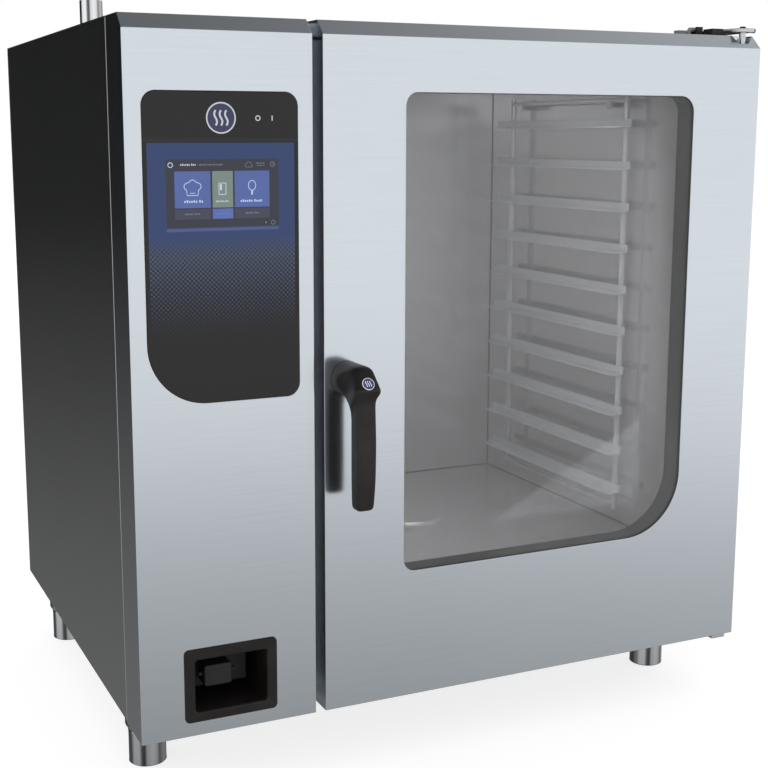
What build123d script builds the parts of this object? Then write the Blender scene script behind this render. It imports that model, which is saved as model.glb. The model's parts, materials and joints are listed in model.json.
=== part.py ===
"""Ten-level combi steamer oven: one solid, or one group of equal solids, per sub-part.

Every sub-part is drawn in housing coordinates in millimetres: X runs to the right from the left
side, Y runs to the rear from the front face, and Z runs up from the lower edge of the front face.
`save` then moves it into the part frame, whose origin is the middle of the four feet on the floor.
"""
from build123d import *
import os
from math import cos, pi, sin

# ---- driving dimensions (mm) --------------------------------------------------------------
WIDTH = 997.0
DEPTH = 790.0
HEIGHT = 960.0
LEG_HEIGHT = 100.0
SHEET = 1.5
GAP = 0.5                  # ordinary clearance between neighbouring sheets
RUNNING = 0.05             # radial clearance of every shaft in its bore

# top chamfer shared by the control housing and the door
CHAMFER_DEPTH = 20.0
CHAMFER_HEIGHT = 19.5

# control housing and door, side by side on the front
CONTROL_WIDTH = 253.8
CONTROL_DEPTH = 77.0
DOOR_LEFT = 268.6
DOOR_DEPTH = 73.0
BODY_FRONT = 80.0          # front face of the plate behind the door
PANEL_FRONT = 78.0         # front edge of the side and top panels

# control glass and its display
GLASS_LEFT, GLASS_RIGHT = 23.0, 232.3
GLASS_BOTTOM, GLASS_TOP = 462.5, 864.5
GLASS_RADIUS = 18.0
GLASS_BIG_RADIUS = 80.0
GLASS_THICK = 4.0
GLASS_PROUD = 0.6
SCREEN_LEFT, SCREEN_RIGHT = 52.0, 204.0
SCREEN_BOTTOM, SCREEN_TOP = 692.0, 780.0

# hand shower recess in the control housing
BEZEL_LEFT, BEZEL_RIGHT = 61.2, 194.8
BEZEL_BOTTOM, BEZEL_TOP = 19.8, 124.2
BEZEL_RADIUS = 7.0
MOUTH_LEFT, MOUTH_RIGHT = 76.4, 179.8
MOUTH_BOTTOM, MOUTH_TOP = 34.4, 108.0
RECESS_DEPTH = 85.0
HOSE_X = 110.0
HOSE_Z = 71.0
HOSE_RADIUS = 7.0
REEL_RADIUS = 88.0
REEL_Y = 500.0

# door window
WINDOW_LEFT, WINDOW_RIGHT = 391.5, 875.5
WINDOW_BOTTOM, WINDOW_TOP = 189.0, 867.0
WINDOW_SMALL_RADIUS = 18.0
WINDOW_TOP_RIGHT_RADIUS = 24.0
WINDOW_BIG_RADIUS = 97.0
SURROUND_BACK = 39.5       # rear edge of the dark reveal between the panes

# handle and latch
HANDLE_X = 303.0
HANDLE_Z = 480.0
HANDLE_FRONT = -73.0
GRIP_FRONT = -66.0
GRIP_BACK = -40.0
GRIP_BOTTOM = 306.0
GRIP_WIDTH = 27.0
NECK_RADIUS = 24.0
SPINDLE_RADIUS = 7.0

# door hinge
HINGE_X = 975.5
HINGE_Y = 17.5
PIN_RADIUS = 5.0
POCKET_DEPTH = 35.0
BUSH_RADIUS = 8.5

# cooking cavity (inside faces)
CAVITY_LEFT, CAVITY_RIGHT = 285.0, 920.0
CAVITY_FRONT = 101.5       # front end of the wide part behind the latch
OPENING_LEFT = 326.0       # left edge of the mouth, clear of the latch
CAVITY_REAR = 677.0
CAVITY_BOTTOM, CAVITY_TOP = 140.0, 895.0
LINER_FRONT = BODY_FRONT + SHEET + 0.1
CAVITY_RADIUS = 4.0
INSULATION = 38.0
BAFFLE_X = 333.5

# fan, shaft and motor on the left wall of the cavity
FAN_Y = 379.0
FAN_Z = 517.0
FAN_RADIUS = 165.0
SHAFT_RADIUS = 9.0
MOTOR_RADIUS = 70.0
MOTOR_LENGTH = 165.0
MOTOR_FACE = CAVITY_LEFT - SHEET - INSULATION - 5.1

# heaters and water pipe around the fan
HEATER_RADII = (193.0, 206.0, 219.0)
HEATER_WIRE = 4.0
HEATER_LEAD = 4.5
HEATER_LEAD_ANGLE = 0.3    # radians above and below the fan axis
INJECTOR_RADIUS = 4.5
INJECTOR_Y = FAN_Y - 40
INJECTOR_Z = FAN_Z + 172

# drain in the cavity floor
DRAIN_X = 590.0
DRAIN_Y = 376.0
STRAINER_RADIUS = 60.0
DRAIN_RADIUS = 25.0
DRAIN_Z = 62.0

# hanging racks
RACK_LEVELS = 10
RACK_TOP_RAIL = 829.0
RACK_PITCH = 68.8
RACK_REAR, RACK_FRONT = 612.0, 181.0
POST_REAR, POST_FRONT = 561.0, 200.0
POST_RADIUS = 5.0
RACK_OFFSET = 22.0         # post axis from the wall it hangs on
RAIL_HEIGHT = 14.0
RAIL_FLANGE = 24.0
RAIL_SHEET = 2.0

# feet
FOOT_INSET = 50.15
FOOT_FRONT, FOOT_REAR = 160.6, 699.1
SLEEVE_RADIUS = 32.0
SLEEVE_HEIGHT = 42.0
FOOT_RADIUS = 27.4
FOOT_NECK = 26.8           # radius of the part that slides in the sleeve
FOOT_SHOULDER = -51.0      # height where the neck begins
STUD_RADIUS = 8.0

# vent pipe on the roof
VENT_X = 118.0
VENT_Y = 650.0
VENT_RADIUS = 19.0
VENT_TOP = 1034.0
VENT_SPIGOT = 38.0
VENT_ELBOW = 850.0

PART_ORIGIN = Pos(-WIDTH / 2, -(FOOT_FRONT + FOOT_REAR) / 2, LEG_HEIGHT)


# ---- drawing helpers ----------------------------------------------------------------------
def block(x0, x1, y0, y1, z0, z1):
    """Box between two corners."""
    return Pos((x0 + x1) / 2, (y0 + y1) / 2, (z0 + z1) / 2) * Box(x1 - x0, y1 - y0, z1 - z0)


def rod_x(radius, x0, x1, y, z):
    """Round bar along X."""
    return Pos((x0 + x1) / 2, y, z) * Rot(0, 90, 0) * Cylinder(radius, x1 - x0)


def rod_y(radius, y0, y1, x, z):
    """Round bar along Y."""
    return Pos(x, (y0 + y1) / 2, z) * Rot(90, 0, 0) * Cylinder(radius, y1 - y0)


def rod_z(radius, z0, z1, x, y):
    """Round bar along Z."""
    return Pos(x, y, (z0 + z1) / 2) * Cylinder(radius, z1 - z0)


def nearest_vertex(sketch, x, y):
    """The sketch vertex closest to a point."""
    return sorted(sketch.vertices(), key=lambda v: (v.X - x) ** 2 + (v.Y - y) ** 2)[0]


def corner_face(x0, x1, z0, z1, top_left, top_right, bottom_right, bottom_left):
    """Rectangle in the sketch plane with its own radius at each corner."""
    face = Pos((x0 + x1) / 2, (z0 + z1) / 2) * Rectangle(x1 - x0, z1 - z0)
    corners = [(x0, z1, top_left), (x1, z1, top_right), (x1, z0, bottom_right), (x0, z0, bottom_left)]
    for x, z, radius in corners:
        face = fillet(nearest_vertex(face, x, z), radius)
    return face


def upright(face, y0, y1):
    """Plate between two depths from a face drawn as seen from the front."""
    return Pos(0, y1, 0) * extrude(Plane.XZ * face, amount=y1 - y0)


def window_face(margin):
    """Window outline, grown by a margin."""
    return corner_face(
        WINDOW_LEFT - margin, WINDOW_RIGHT + margin, WINDOW_BOTTOM - margin, WINDOW_TOP + margin,
        WINDOW_SMALL_RADIUS + margin, WINDOW_TOP_RIGHT_RADIUS + margin,
        WINDOW_BIG_RADIUS + margin, WINDOW_SMALL_RADIUS + margin)


def glass_face(margin):
    """Control glass outline with its one large corner, grown by a margin."""
    small = GLASS_RADIUS + margin
    return corner_face(
        GLASS_LEFT - margin, GLASS_RIGHT + margin, GLASS_BOTTOM - margin, GLASS_TOP + margin,
        small, small, small, GLASS_BIG_RADIUS + margin)


def front_shell(x0, x1, depth, rim):
    """Folded front: closed sides, chamfered top, and a rim around its open back."""
    side = Polyline(
        (0, 0), (depth, 0), (depth, HEIGHT), (CHAMFER_DEPTH, HEIGHT), (0, HEIGHT - CHAMFER_HEIGHT),
        close=True)
    outline = make_face(side)
    inside = offset(outline, -SHEET, kind=Kind.INTERSECTION)
    shell = Pos(x0, 0, 0) * extrude(Plane.YZ * outline, amount=x1 - x0)
    shell -= Pos(x0 + SHEET, 0, 0) * extrude(Plane.YZ * inside, amount=x1 - x0 - 2 * SHEET)
    shell -= block(x0 + rim, x1 - rim, depth - 2 * SHEET, depth + 1, rim, HEIGHT - rim)
    return shell


def pipe_run(points, radius, wall, bend):
    """Tube along a bent path; wall None gives a solid bar."""
    path = FilletPolyline(*points, radius=bend)
    section = Plane(origin=path @ 0, z_dir=path % 0)
    tube = sweep(section * Circle(radius), path=path)
    if wall is not None:
        tube -= sweep(section * Circle(radius - wall), path=path)
    return tube


def at_feet(shape):
    """The same shape at each of the four feet."""
    spots = [(x, y) for x in (FOOT_INSET, WIDTH - FOOT_INSET) for y in (FOOT_FRONT, FOOT_REAR)]
    return [Pos(x, y, 0) * shape for x, y in spots]


# ---- carrying structure and casing --------------------------------------------------------
FRAME_BOTTOM = 5.0
TUBE = 30.0


def base_frame():
    """Welded frame of square tubes that carries the cavity and stands on the feet."""
    top = FRAME_BOTTOM + TUBE
    y0, y1 = BODY_FRONT + 26, DEPTH - 4
    wall = 2.0
    left, right = FOOT_INSET, WIDTH - FOOT_INSET
    frame = block(left - TUBE / 2, left + TUBE / 2, y0, y1, FRAME_BOTTOM, top)
    frame += block(right - TUBE / 2, right + TUBE / 2, y0, y1, FRAME_BOTTOM, top)
    inner = block(left - TUBE / 2 + wall, left + TUBE / 2 - wall, y0 - 1, y1 + 1,
                  FRAME_BOTTOM + wall, top - wall)
    inner += block(right - TUBE / 2 + wall, right + TUBE / 2 - wall, y0 - 1, y1 + 1,
                   FRAME_BOTTOM + wall, top - wall)
    frame -= inner
    for y in (FOOT_FRONT, (FOOT_FRONT + FOOT_REAR) / 2, FOOT_REAR):
        cross = block(left + TUBE / 2, right - TUBE / 2, y - TUBE / 2, y + TUBE / 2, FRAME_BOTTOM, top)
        cross -= block(left + TUBE / 2, right - TUBE / 2, y - TUBE / 2 + wall, y + TUBE / 2 - wall,
                       FRAME_BOTTOM + wall, top - wall)
        frame += cross
    for hole in at_feet(rod_z(STUD_RADIUS + 0.5, FRAME_BOTTOM - 1, top + 1, 0, 0)):
        frame -= hole
    return frame


def bottom_panel():
    """Floor sheet under the frame, with upturned edges, feet holes, drain notch and air slots."""
    x0, x1 = SHEET + GAP, WIDTH - SHEET - GAP
    y0, y1 = BODY_FRONT + SHEET + GAP, DEPTH - SHEET - GAP
    pan = block(x0, x1, y0, y1, 3, 3 + SHEET)
    edge_front = BODY_FRONT + 24
    pan += block(x0, x0 + SHEET, edge_front, y1, 3, 22)
    pan += block(x1 - SHEET, x1, edge_front, y1, 3, 22)
    pan += block(x0, x1, y1 - SHEET, y1, 3, 22)
    for hole in at_feet(rod_z(STUD_RADIUS + 0.5, 2, 6, 0, 0)):
        pan -= hole
    for k in range(12):
        pan -= block(95 + 16 * k, 101 + 16 * k, 560, 640, 2, 6)
    return pan


def side_panel(x_out, inward):
    """Side sheet with folded edges; inward is +1 on the left side and -1 on the right."""
    y0, y1 = PANEL_FRONT, DEPTH
    z0, z1 = 3.0, HEIGHT - SHEET - 0.3
    fold = 18.0

    def strip(depth_in, ya, yb, za, zb):
        xa, xb = sorted((x_out, x_out + inward * depth_in))
        return block(xa, xb, ya, yb, za, zb)

    panel = strip(SHEET, y0, y1, z0, z1)
    panel += strip(fold, y1 - SHEET, y1, z0 + 20, z1)
    panel += strip(fold, y0, y1, z1 - SHEET, z1)
    return panel


def left_side_panel():
    """Left casing sheet."""
    return side_panel(0.0, 1)


def right_side_panel():
    """Right casing sheet."""
    return side_panel(WIDTH, -1)


def top_panel():
    """Roof sheet with an opening for the vent pipe and a hole for the switch cable."""
    top = block(0, WIDTH, PANEL_FRONT, DEPTH, HEIGHT - SHEET, HEIGHT)
    top += block(20, WIDTH - 20, PANEL_FRONT, PANEL_FRONT + SHEET, HEIGHT - 18, HEIGHT)
    top -= rod_z(VENT_RADIUS + 6, HEIGHT - 5, HEIGHT + 5, VENT_X, VENT_Y)
    top -= rod_z(CABLE_HOLE, HEIGHT - 5, HEIGHT + 5, CABLE_X, CABLE_Y)
    for x, y in plate_bolts():
        top -= rod_z(BOLT_HOLE, HEIGHT - 5, HEIGHT + 5, x, y)
    return top


def rear_panel():
    """Back sheet with air slots and openings for water, drain and mains."""
    z0, z1 = 24.0, HEIGHT - 2 * SHEET - 1
    back = block(SHEET + GAP, WIDTH - SHEET - GAP, DEPTH - 2 * SHEET - GAP, DEPTH - SHEET - GAP, z0, z1)
    for x, z in INLETS:
        back -= rod_y(15, DEPTH - 10, DEPTH + 5, x, z)
    back -= rod_y(DRAIN_RADIUS + 3, DEPTH - 10, DEPTH + 5, DRAIN_X, DRAIN_Z)
    back -= rod_y(17, DEPTH - 10, DEPTH + 5, *GLAND)
    for column in range(2):
        for k in range(14):
            slot = upright(SlotOverall(80, 5), 0, 10)
            back -= Pos(95 + 110 * column, DEPTH - 8, 640 + 16 * k) * slot
    return back


# ---- connections at the rear --------------------------------------------------------------
INLETS = [(86.0, 150.0), (146.0, 150.0)]
GLAND = (236.0, 120.0)
INLET_RADIUS = 13.2
SPIGOT_START = DEPTH - 1   # every rear spigot has its full size from here
SPIGOT_END = DEPTH + 9
SPIGOT_STEP = 0.6          # how much thinner a pipe is below its spigot


def water_inlets():
    """Two inlet stubs with their nuts, for softened and for raw water."""
    nut_y = DEPTH - 16
    bore = 9.5
    group = []
    for x, z in INLETS:
        stub = rod_y(INLET_RADIUS, SPIGOT_START, SPIGOT_END, x, z)
        stub += rod_y(INLET_RADIUS - SPIGOT_STEP, nut_y, SPIGOT_START, x, z)
        stub += Pos(x, nut_y, z) * Rot(90, 0, 0) * extrude(RegularPolygon(18, 6), amount=8, both=True)
        stub -= rod_y(bore, DEPTH - 30, DEPTH + 10, x, z)
        group.append(stub)
    return group


def cable_gland():
    """Strain relief for the mains lead."""
    x, z = GLAND
    gland = rod_y(16, DEPTH - 12, DEPTH - 1, x, z)
    gland += Pos(x, DEPTH + 2, z) * Rot(90, 0, 0) * extrude(RegularPolygon(20, 6), amount=3, both=True)
    gland += rod_y(14, DEPTH + 5, DEPTH + 9, x, z)
    gland -= rod_y(9, DEPTH - 15, DEPTH + 10, x, z)
    return gland


def solenoid_valves():
    """Two inlet valves with their coils, each behind its own inlet."""
    group = []
    for x, z in INLETS:
        y1 = DEPTH - 25
        valve = block(x - 14, x + 14, y1 - 40, y1, z - 13, z + 13)
        valve += rod_z(13, z + 13, z + 45, x, y1 - 20)
        valve += rod_y(8, y1 - 58, y1 - 40, x, z)
        group.append(valve)
    return group


# ---- roof fittings ------------------------------------------------------------------------
CABLE_X, CABLE_Y = 941.0, 90.0
CABLE_HOLE = 5.6
ARM_LEFT, ARM_RIGHT = 953.0, 992.5
ARM_TIP_LEFT = 966.0       # left edge at the narrow front end
ARM_FRONT = 10.0
ARM_TAPER_BACK = 56.0      # depth where the arm reaches its full width
PLATE_BACK = 140.0
PLATE_TOP = 971.0
PLATE_THICK = 6.0
BOLT_HOLE = 3.2
STOP_HOLE = 1.8
STOP_Z = PLATE_TOP - PLATE_THICK / 2


def plate_bolts():
    """Screw places that hold the top hinge plate to the roof."""
    return [(972.0, 98.0), (972.0, 126.0)]


def vent_pipe():
    """Vent from the cavity wall, up through the roof, with a collar and a spigot above the roof."""
    wall_x = CAVITY_LEFT - SHEET - INSULATION
    cavity_x = CAVITY_LEFT - SHEET - 0.2
    bore = VENT_RADIUS - 2.0
    spigot_z = VENT_TOP - VENT_SPIGOT
    path = [(VENT_X, VENT_Y, VENT_TOP), (VENT_X, VENT_Y, VENT_ELBOW), (cavity_x, VENT_Y, VENT_ELBOW)]
    pipe = pipe_run(path, VENT_RADIUS - SPIGOT_STEP, VENT_RADIUS - SPIGOT_STEP - bore, 40)
    pipe += rod_z(VENT_RADIUS, spigot_z, VENT_TOP, VENT_X, VENT_Y)
    pipe += rod_z(VENT_RADIUS + 5, HEIGHT + 0.2, spigot_z - 2, VENT_X, VENT_Y)
    pipe += rod_x(VENT_RADIUS + 12, wall_x - 3, wall_x - 0.4, VENT_Y, VENT_ELBOW)
    pipe -= rod_z(bore, VENT_ELBOW + 45, VENT_TOP + 1, VENT_X, VENT_Y)
    return pipe - rod_x(bore, VENT_X + 45, cavity_x + 1, VENT_Y, VENT_ELBOW)


def top_hinge_plate():
    """Steel arm from the roof over the door, with the upper hinge pin fixed in its end."""
    step_y = BODY_FRONT + 6
    pin_bottom = HEIGHT - POCKET_DEPTH - 22
    plate = block(ARM_LEFT, ARM_RIGHT, step_y, PLATE_BACK, HEIGHT + 0.1, PLATE_TOP)
    outline = Polyline((ARM_TIP_LEFT, ARM_FRONT), (ARM_RIGHT, ARM_FRONT), (ARM_RIGHT, step_y),
                       (ARM_LEFT, step_y), (ARM_LEFT, ARM_TAPER_BACK), close=True)
    plate += Pos(0, 0, PLATE_TOP - PLATE_THICK) * extrude(make_face(outline), amount=PLATE_THICK)
    plate += rod_z(PIN_RADIUS, pin_bottom, PLATE_TOP, HINGE_X, HINGE_Y)
    for x, y in plate_bolts():
        plate -= rod_z(BOLT_HOLE, HEIGHT - 1, PLATE_TOP + 1, x, y)
    return plate - rod_x(STOP_HOLE, ARM_RIGHT - 8, ARM_RIGHT + 1, HINGE_Y, STOP_Z)


def hinge_screws():
    """Two screws that hold the top hinge plate, and the stop screw in the arm's side."""
    group = []
    seat = PLATE_TOP + 0.05
    for x, y in plate_bolts():
        screw = rod_z(5.5, seat, seat + 4, x, y)
        screw += rod_z(BOLT_HOLE - 0.2, HEIGHT - 12, seat, x, y)
        group.append(screw)
    stop = rod_x(3.4, ARM_RIGHT + 0.05, ARM_RIGHT + 4, HINGE_Y, STOP_Z)
    stop += rod_x(STOP_HOLE - 0.2, ARM_RIGHT - 7, ARM_RIGHT + 0.05, HINGE_Y, STOP_Z)
    group.append(stop)
    return group


def door_switch():
    """Small sensor over the closed door, on a thin base that is held on the roof."""
    x0, x1 = 928.0, 950.0
    rim = 3.0
    base_top = HEIGHT + 3.5
    step_y = BODY_FRONT + 1.5
    sensor = block(x0, x1, 30, 52, base_top, HEIGHT + 10.5)
    sensor = fillet(sensor.edges().filter_by(Axis.Z), 2)
    sensor += block(x0 - rim, x1 + 2, 27, step_y, HEIGHT + 1.5, base_top)
    sensor += block(x0 - rim, x1 + 2, step_y, CABLE_Y + 20, HEIGHT + 0.1, base_top)
    sensor += block(x0 + 10, x1, CABLE_Y - 10, CABLE_Y + 12, base_top, HEIGHT + 17)
    sensor -= rod_z(CABLE_HOLE, HEIGHT, HEIGHT + 20, CABLE_X, CABLE_Y)
    return sensor - block(900, CABLE_X + CABLE_HOLE, CABLE_Y - CABLE_HOLE, CABLE_Y + CABLE_HOLE,
                          HEIGHT, HEIGHT + 20)


def switch_cable():
    """Pale cable loop from the sensor's socket to its clamp on the roof."""
    arch = HEIGHT + 13
    points = [(CABLE_X + 5.4, CABLE_Y, arch), (930, CABLE_Y, arch), (930, CABLE_Y, HEIGHT + 1)]
    loop = pipe_run(points, 3.5, None, 5)
    clamp = block(906, 922, CABLE_Y - 6, CABLE_Y + 6, HEIGHT + 0.1, HEIGHT + 11)
    strap = block(920, 932, CABLE_Y - 5, CABLE_Y + 5, HEIGHT + 0.1, HEIGHT + 3)
    return loop + clamp + strap


# ---- control housing ----------------------------------------------------------------------
def control_housing():
    """Left front shell with its openings for the glass and the hand shower recess."""
    shell = front_shell(0, CONTROL_WIDTH, CONTROL_DEPTH, 14)
    shell -= upright(glass_face(GAP), -1, SHEET + 1)
    shell -= block(BEZEL_LEFT + 4, BEZEL_RIGHT - 4, -1, SHEET + 1, BEZEL_BOTTOM + 4, BEZEL_TOP - 4)
    return shell


def control_glass():
    """Black touch glass, slightly proud of the sheet, with one large corner."""
    glass = upright(glass_face(0), -GLASS_PROUD, GLASS_THICK - GLASS_PROUD)
    front_edges = glass.edges().group_by(Axis.Y)[0]
    return chamfer(front_edges, 0.4)


def display_module():
    """Display behind the upper part of the glass."""
    back = GLASS_THICK - GLASS_PROUD + 0.1
    module = block(SCREEN_LEFT - 7, SCREEN_RIGHT + 7, back, back + 9, SCREEN_BOTTOM - 7, SCREEN_TOP + 7)
    module += block(SCREEN_LEFT + 20, SCREEN_RIGHT - 20, back + 9, back + 13,
                    SCREEN_BOTTOM + 10, SCREEN_TOP - 10)
    return module


def control_board():
    """Circuit board behind the display with its larger components."""
    board = block(38, 218, 26, 27.6, 500, 790)
    for k in range(4):
        board += block(60 + 38 * k, 84 + 38 * k, 27.6, 33, 540, 564)
        board += block(60 + 38 * k, 90 + 38 * k, 27.6, 45, 720, 752)
    for k in range(3):
        board += rod_y(9, 27.6, 50, 80 + 45 * k, 640)
    return board


def shower_recess():
    """Moulded tub with a bezel, an upper rear shelf and a guide hole for the hose."""
    wall = 2.5
    bezel = upright(
        corner_face(BEZEL_LEFT, BEZEL_RIGHT, BEZEL_BOTTOM, BEZEL_TOP, *[BEZEL_RADIUS] * 4), -2.5, -0.05)
    bezel = chamfer(bezel.edges().group_by(Axis.Y)[0], 1.2)
    tub = bezel + block(
        MOUTH_LEFT - wall, MOUTH_RIGHT + wall, -0.05, RECESS_DEPTH + wall,
        MOUTH_BOTTOM - wall, MOUTH_TOP + wall)
    tub -= block(MOUTH_LEFT, MOUTH_RIGHT, -5, RECESS_DEPTH, MOUTH_BOTTOM, MOUTH_TOP)
    tub += block(MOUTH_LEFT, 166, 45, RECESS_DEPTH, 50, MOUTH_TOP)
    tub -= rod_y(HOSE_RADIUS + 0.1, 20, RECESS_DEPTH + 10, HOSE_X, HOSE_Z)
    return tub


# ---- hand shower --------------------------------------------------------------------------
def hand_shower():
    """Spray head parked in the recess, with its trigger bar and two side pins."""
    x0, x1 = 92.0, 128.0
    head = block(x0, x1, 15, 44.5, 58, 92)
    head = fillet(head.edges().filter_by(Axis.Y), 4)
    head += rod_x(4, x0 - 7, x1 + 7, 27, 79)
    head += rod_y(11, 8, 15, HOSE_X, 74)
    head -= rod_y(7.5, 7, 12, HOSE_X, 74)
    head -= rod_y(HOSE_RADIUS, 30, 50, HOSE_X, HOSE_Z)
    return head


HOSE_END = 700.0


def shower_hose():
    """Hose drawn straight: it leaves the head, passes the guide and runs under the reel."""
    return rod_y(HOSE_RADIUS, 30, HOSE_END, HOSE_X, HOSE_Z)


REEL_Z = HOSE_Z + HOSE_RADIUS + 0.5 + REEL_RADIUS
AXLE_RADIUS = 10.0


def hose_reel():
    """Spring reel whose grooved drum the hose leaves at its lowest point."""
    half = 12.0
    drum = rod_x(REEL_RADIUS, HOSE_X - half, HOSE_X + half, REEL_Y, REEL_Z)
    drum += rod_x(REEL_RADIUS - 25, HOSE_X + half, HOSE_X + half + 14, REEL_Y, REEL_Z)
    flange = REEL_RADIUS + 5
    for x in (HOSE_X - half - 3, HOSE_X + half):
        drum += rod_x(flange, x, x + 3, REEL_Y, REEL_Z)
    drum -= rod_x(AXLE_RADIUS + RUNNING, HOSE_X - 40, HOSE_X + 40, REEL_Y, REEL_Z)
    for k in range(5):
        angle = 2 * pi * k / 5
        drum -= rod_x(17, HOSE_X - 40, HOSE_X + 40, REEL_Y + 48 * cos(angle), REEL_Z + 48 * sin(angle))
    return drum


def reel_bracket():
    """Bent plate on the bottom panel with the fixed axle of the reel."""
    x_plate = HOSE_X - 40
    bracket = block(x_plate, x_plate + 3, REEL_Y - 35, REEL_Y + 35, 6, REEL_Z + 30)
    bracket += block(x_plate - 1, x_plate + 24, REEL_Y - 35, REEL_Y + 35, 4.7, 8)
    bracket += rod_x(AXLE_RADIUS + 8, x_plate + 3, HOSE_X - 16, REEL_Y, REEL_Z)
    bracket += rod_x(AXLE_RADIUS, x_plate, HOSE_X + 34, REEL_Y, REEL_Z)
    bracket += rod_x(AXLE_RADIUS + 5, HOSE_X + 30, HOSE_X + 34, REEL_Y, REEL_Z)
    return bracket


# ---- front of the cavity ------------------------------------------------------------------
def mouth_face(margin, radius):
    """Outline of the cavity mouth, grown by a margin."""
    return corner_face(
        OPENING_LEFT - margin, CAVITY_RIGHT + margin, CAVITY_BOTTOM - margin, CAVITY_TOP + margin,
        radius, radius, radius, radius)


def front_frame():
    """Front plate around the cavity mouth, with folded outer edges."""
    x0, x1 = CONTROL_WIDTH - 18, WIDTH - SHEET - GAP
    z0, z1 = 6.0, HEIGHT - 22
    plate = block(x0, x1, BODY_FRONT, BODY_FRONT + SHEET, z0, z1)
    plate += block(x0, x0 + SHEET, BODY_FRONT, BODY_FRONT + 22, z0, z1)
    plate += block(x1 - SHEET, x1, BODY_FRONT, BODY_FRONT + 22, z0, z1)
    plate += block(x0, x1, BODY_FRONT, BODY_FRONT + 22, z0, z0 + SHEET)
    plate -= upright(mouth_face(0, CAVITY_RADIUS), BODY_FRONT - 1, BODY_FRONT + 5)
    return plate


TONGUE_FRONT, TONGUE_BACK = 60.5, 64.5
TONGUE_REACH = 15.0
KEEPER_X = HANDLE_X - 20    # axis of the keeper bolt, just out of the tongue's reach


def latch_keeper():
    """Headed bolt on the front plate that stands into the door beside the spindle."""
    flange_front = BODY_FRONT - 3
    head_back = TONGUE_FRONT - 1.5
    keeper = rod_y(11, flange_front, BODY_FRONT, KEEPER_X, HANDLE_Z)
    keeper += rod_y(3.2, head_back, flange_front, KEEPER_X, HANDLE_Z)
    return keeper + rod_y(8, head_back - 5, head_back, KEEPER_X, HANDLE_Z)


SEAL_WIDTH = 12.0


def door_gasket():
    """Silicone seal pushed on the rim of the cavity mouth."""
    y0 = DOOR_DEPTH + 0.6
    seal = upright(mouth_face(SEAL_WIDTH, 16), y0, BODY_FRONT - 0.05)
    seal -= upright(mouth_face(0, CAVITY_RADIUS), y0 - 1, BODY_FRONT + 1)
    return chamfer(seal.edges().group_by(Axis.Y)[0], 1.2)


# ---- cavity -------------------------------------------------------------------------------
def cavity_block(grow):
    """The cavity's inner space, grown by a margin: a wide part behind a narrower mouth."""
    wide = block(CAVITY_LEFT - grow, CAVITY_RIGHT + grow, CAVITY_FRONT - grow, CAVITY_REAR + grow,
                 CAVITY_BOTTOM - grow, CAVITY_TOP + grow)
    neck = block(OPENING_LEFT - grow, CAVITY_RIGHT + grow, LINER_FRONT, CAVITY_FRONT,
                 CAVITY_BOTTOM - grow, CAVITY_TOP + grow)
    return wide + neck


def cavity_liner():
    """Welded cavity with its front flange and the holes for shaft, drain, vent and leads."""
    liner = cavity_block(SHEET)
    rim = upright(mouth_face(20, 6), LINER_FRONT, LINER_FRONT + SHEET)
    rim -= block(0, OPENING_LEFT - 4, LINER_FRONT - 1, LINER_FRONT + 5, 0, HEIGHT)
    liner += rim
    liner -= cavity_block(0) + upright(mouth_face(0, CAVITY_RADIUS), LINER_FRONT - 1, CAVITY_FRONT)
    x0, x1 = CAVITY_LEFT - 5, CAVITY_LEFT + 5
    liner -= rod_x(22, x0, x1, FAN_Y, FAN_Z)
    liner -= rod_x(VENT_RADIUS - 1.5, x0, x1, VENT_Y, VENT_ELBOW)
    for radius in HEATER_RADII:
        for y, z in heater_leads(radius):
            liner -= rod_x(HEATER_LEAD + GAP, x0, x1, y, z)
    liner -= rod_x(INJECTOR_RADIUS + 0.2, x0, x1, INJECTOR_Y, INJECTOR_Z)
    liner -= rod_z(DRAIN_RADIUS - SHEET, CAVITY_BOTTOM - 5, CAVITY_BOTTOM + 5, DRAIN_X, DRAIN_Y)
    return liner


def insulation():
    """Mineral wool jacket around the cavity, open at the front."""
    near = SHEET + 0.3
    far = SHEET + INSULATION - 0.2
    wool = block(CAVITY_LEFT - far, CAVITY_RIGHT + far, CAVITY_FRONT + 4, CAVITY_REAR + far,
                 CAVITY_BOTTOM - far, CAVITY_TOP + far)
    wool -= cavity_block(near)
    x0, x1 = CAVITY_LEFT - 60, CAVITY_LEFT
    wool -= rod_x(30, x0, x1, FAN_Y, FAN_Z)
    wool -= rod_x(VENT_RADIUS + 1, x0, x1, VENT_Y, VENT_ELBOW)
    for radius in HEATER_RADII:
        for y, z in heater_leads(radius):
            wool -= rod_x(HEATER_LEAD + 1, x0, x1, y, z)
    wool -= rod_x(INJECTOR_RADIUS + 1.5, x0, x1, INJECTOR_Y, INJECTOR_Z)
    wool -= rod_z(DRAIN_RADIUS + 2, CAVITY_BOTTOM - 60, CAVITY_BOTTOM, DRAIN_X, DRAIN_Y)
    return wool


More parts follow.
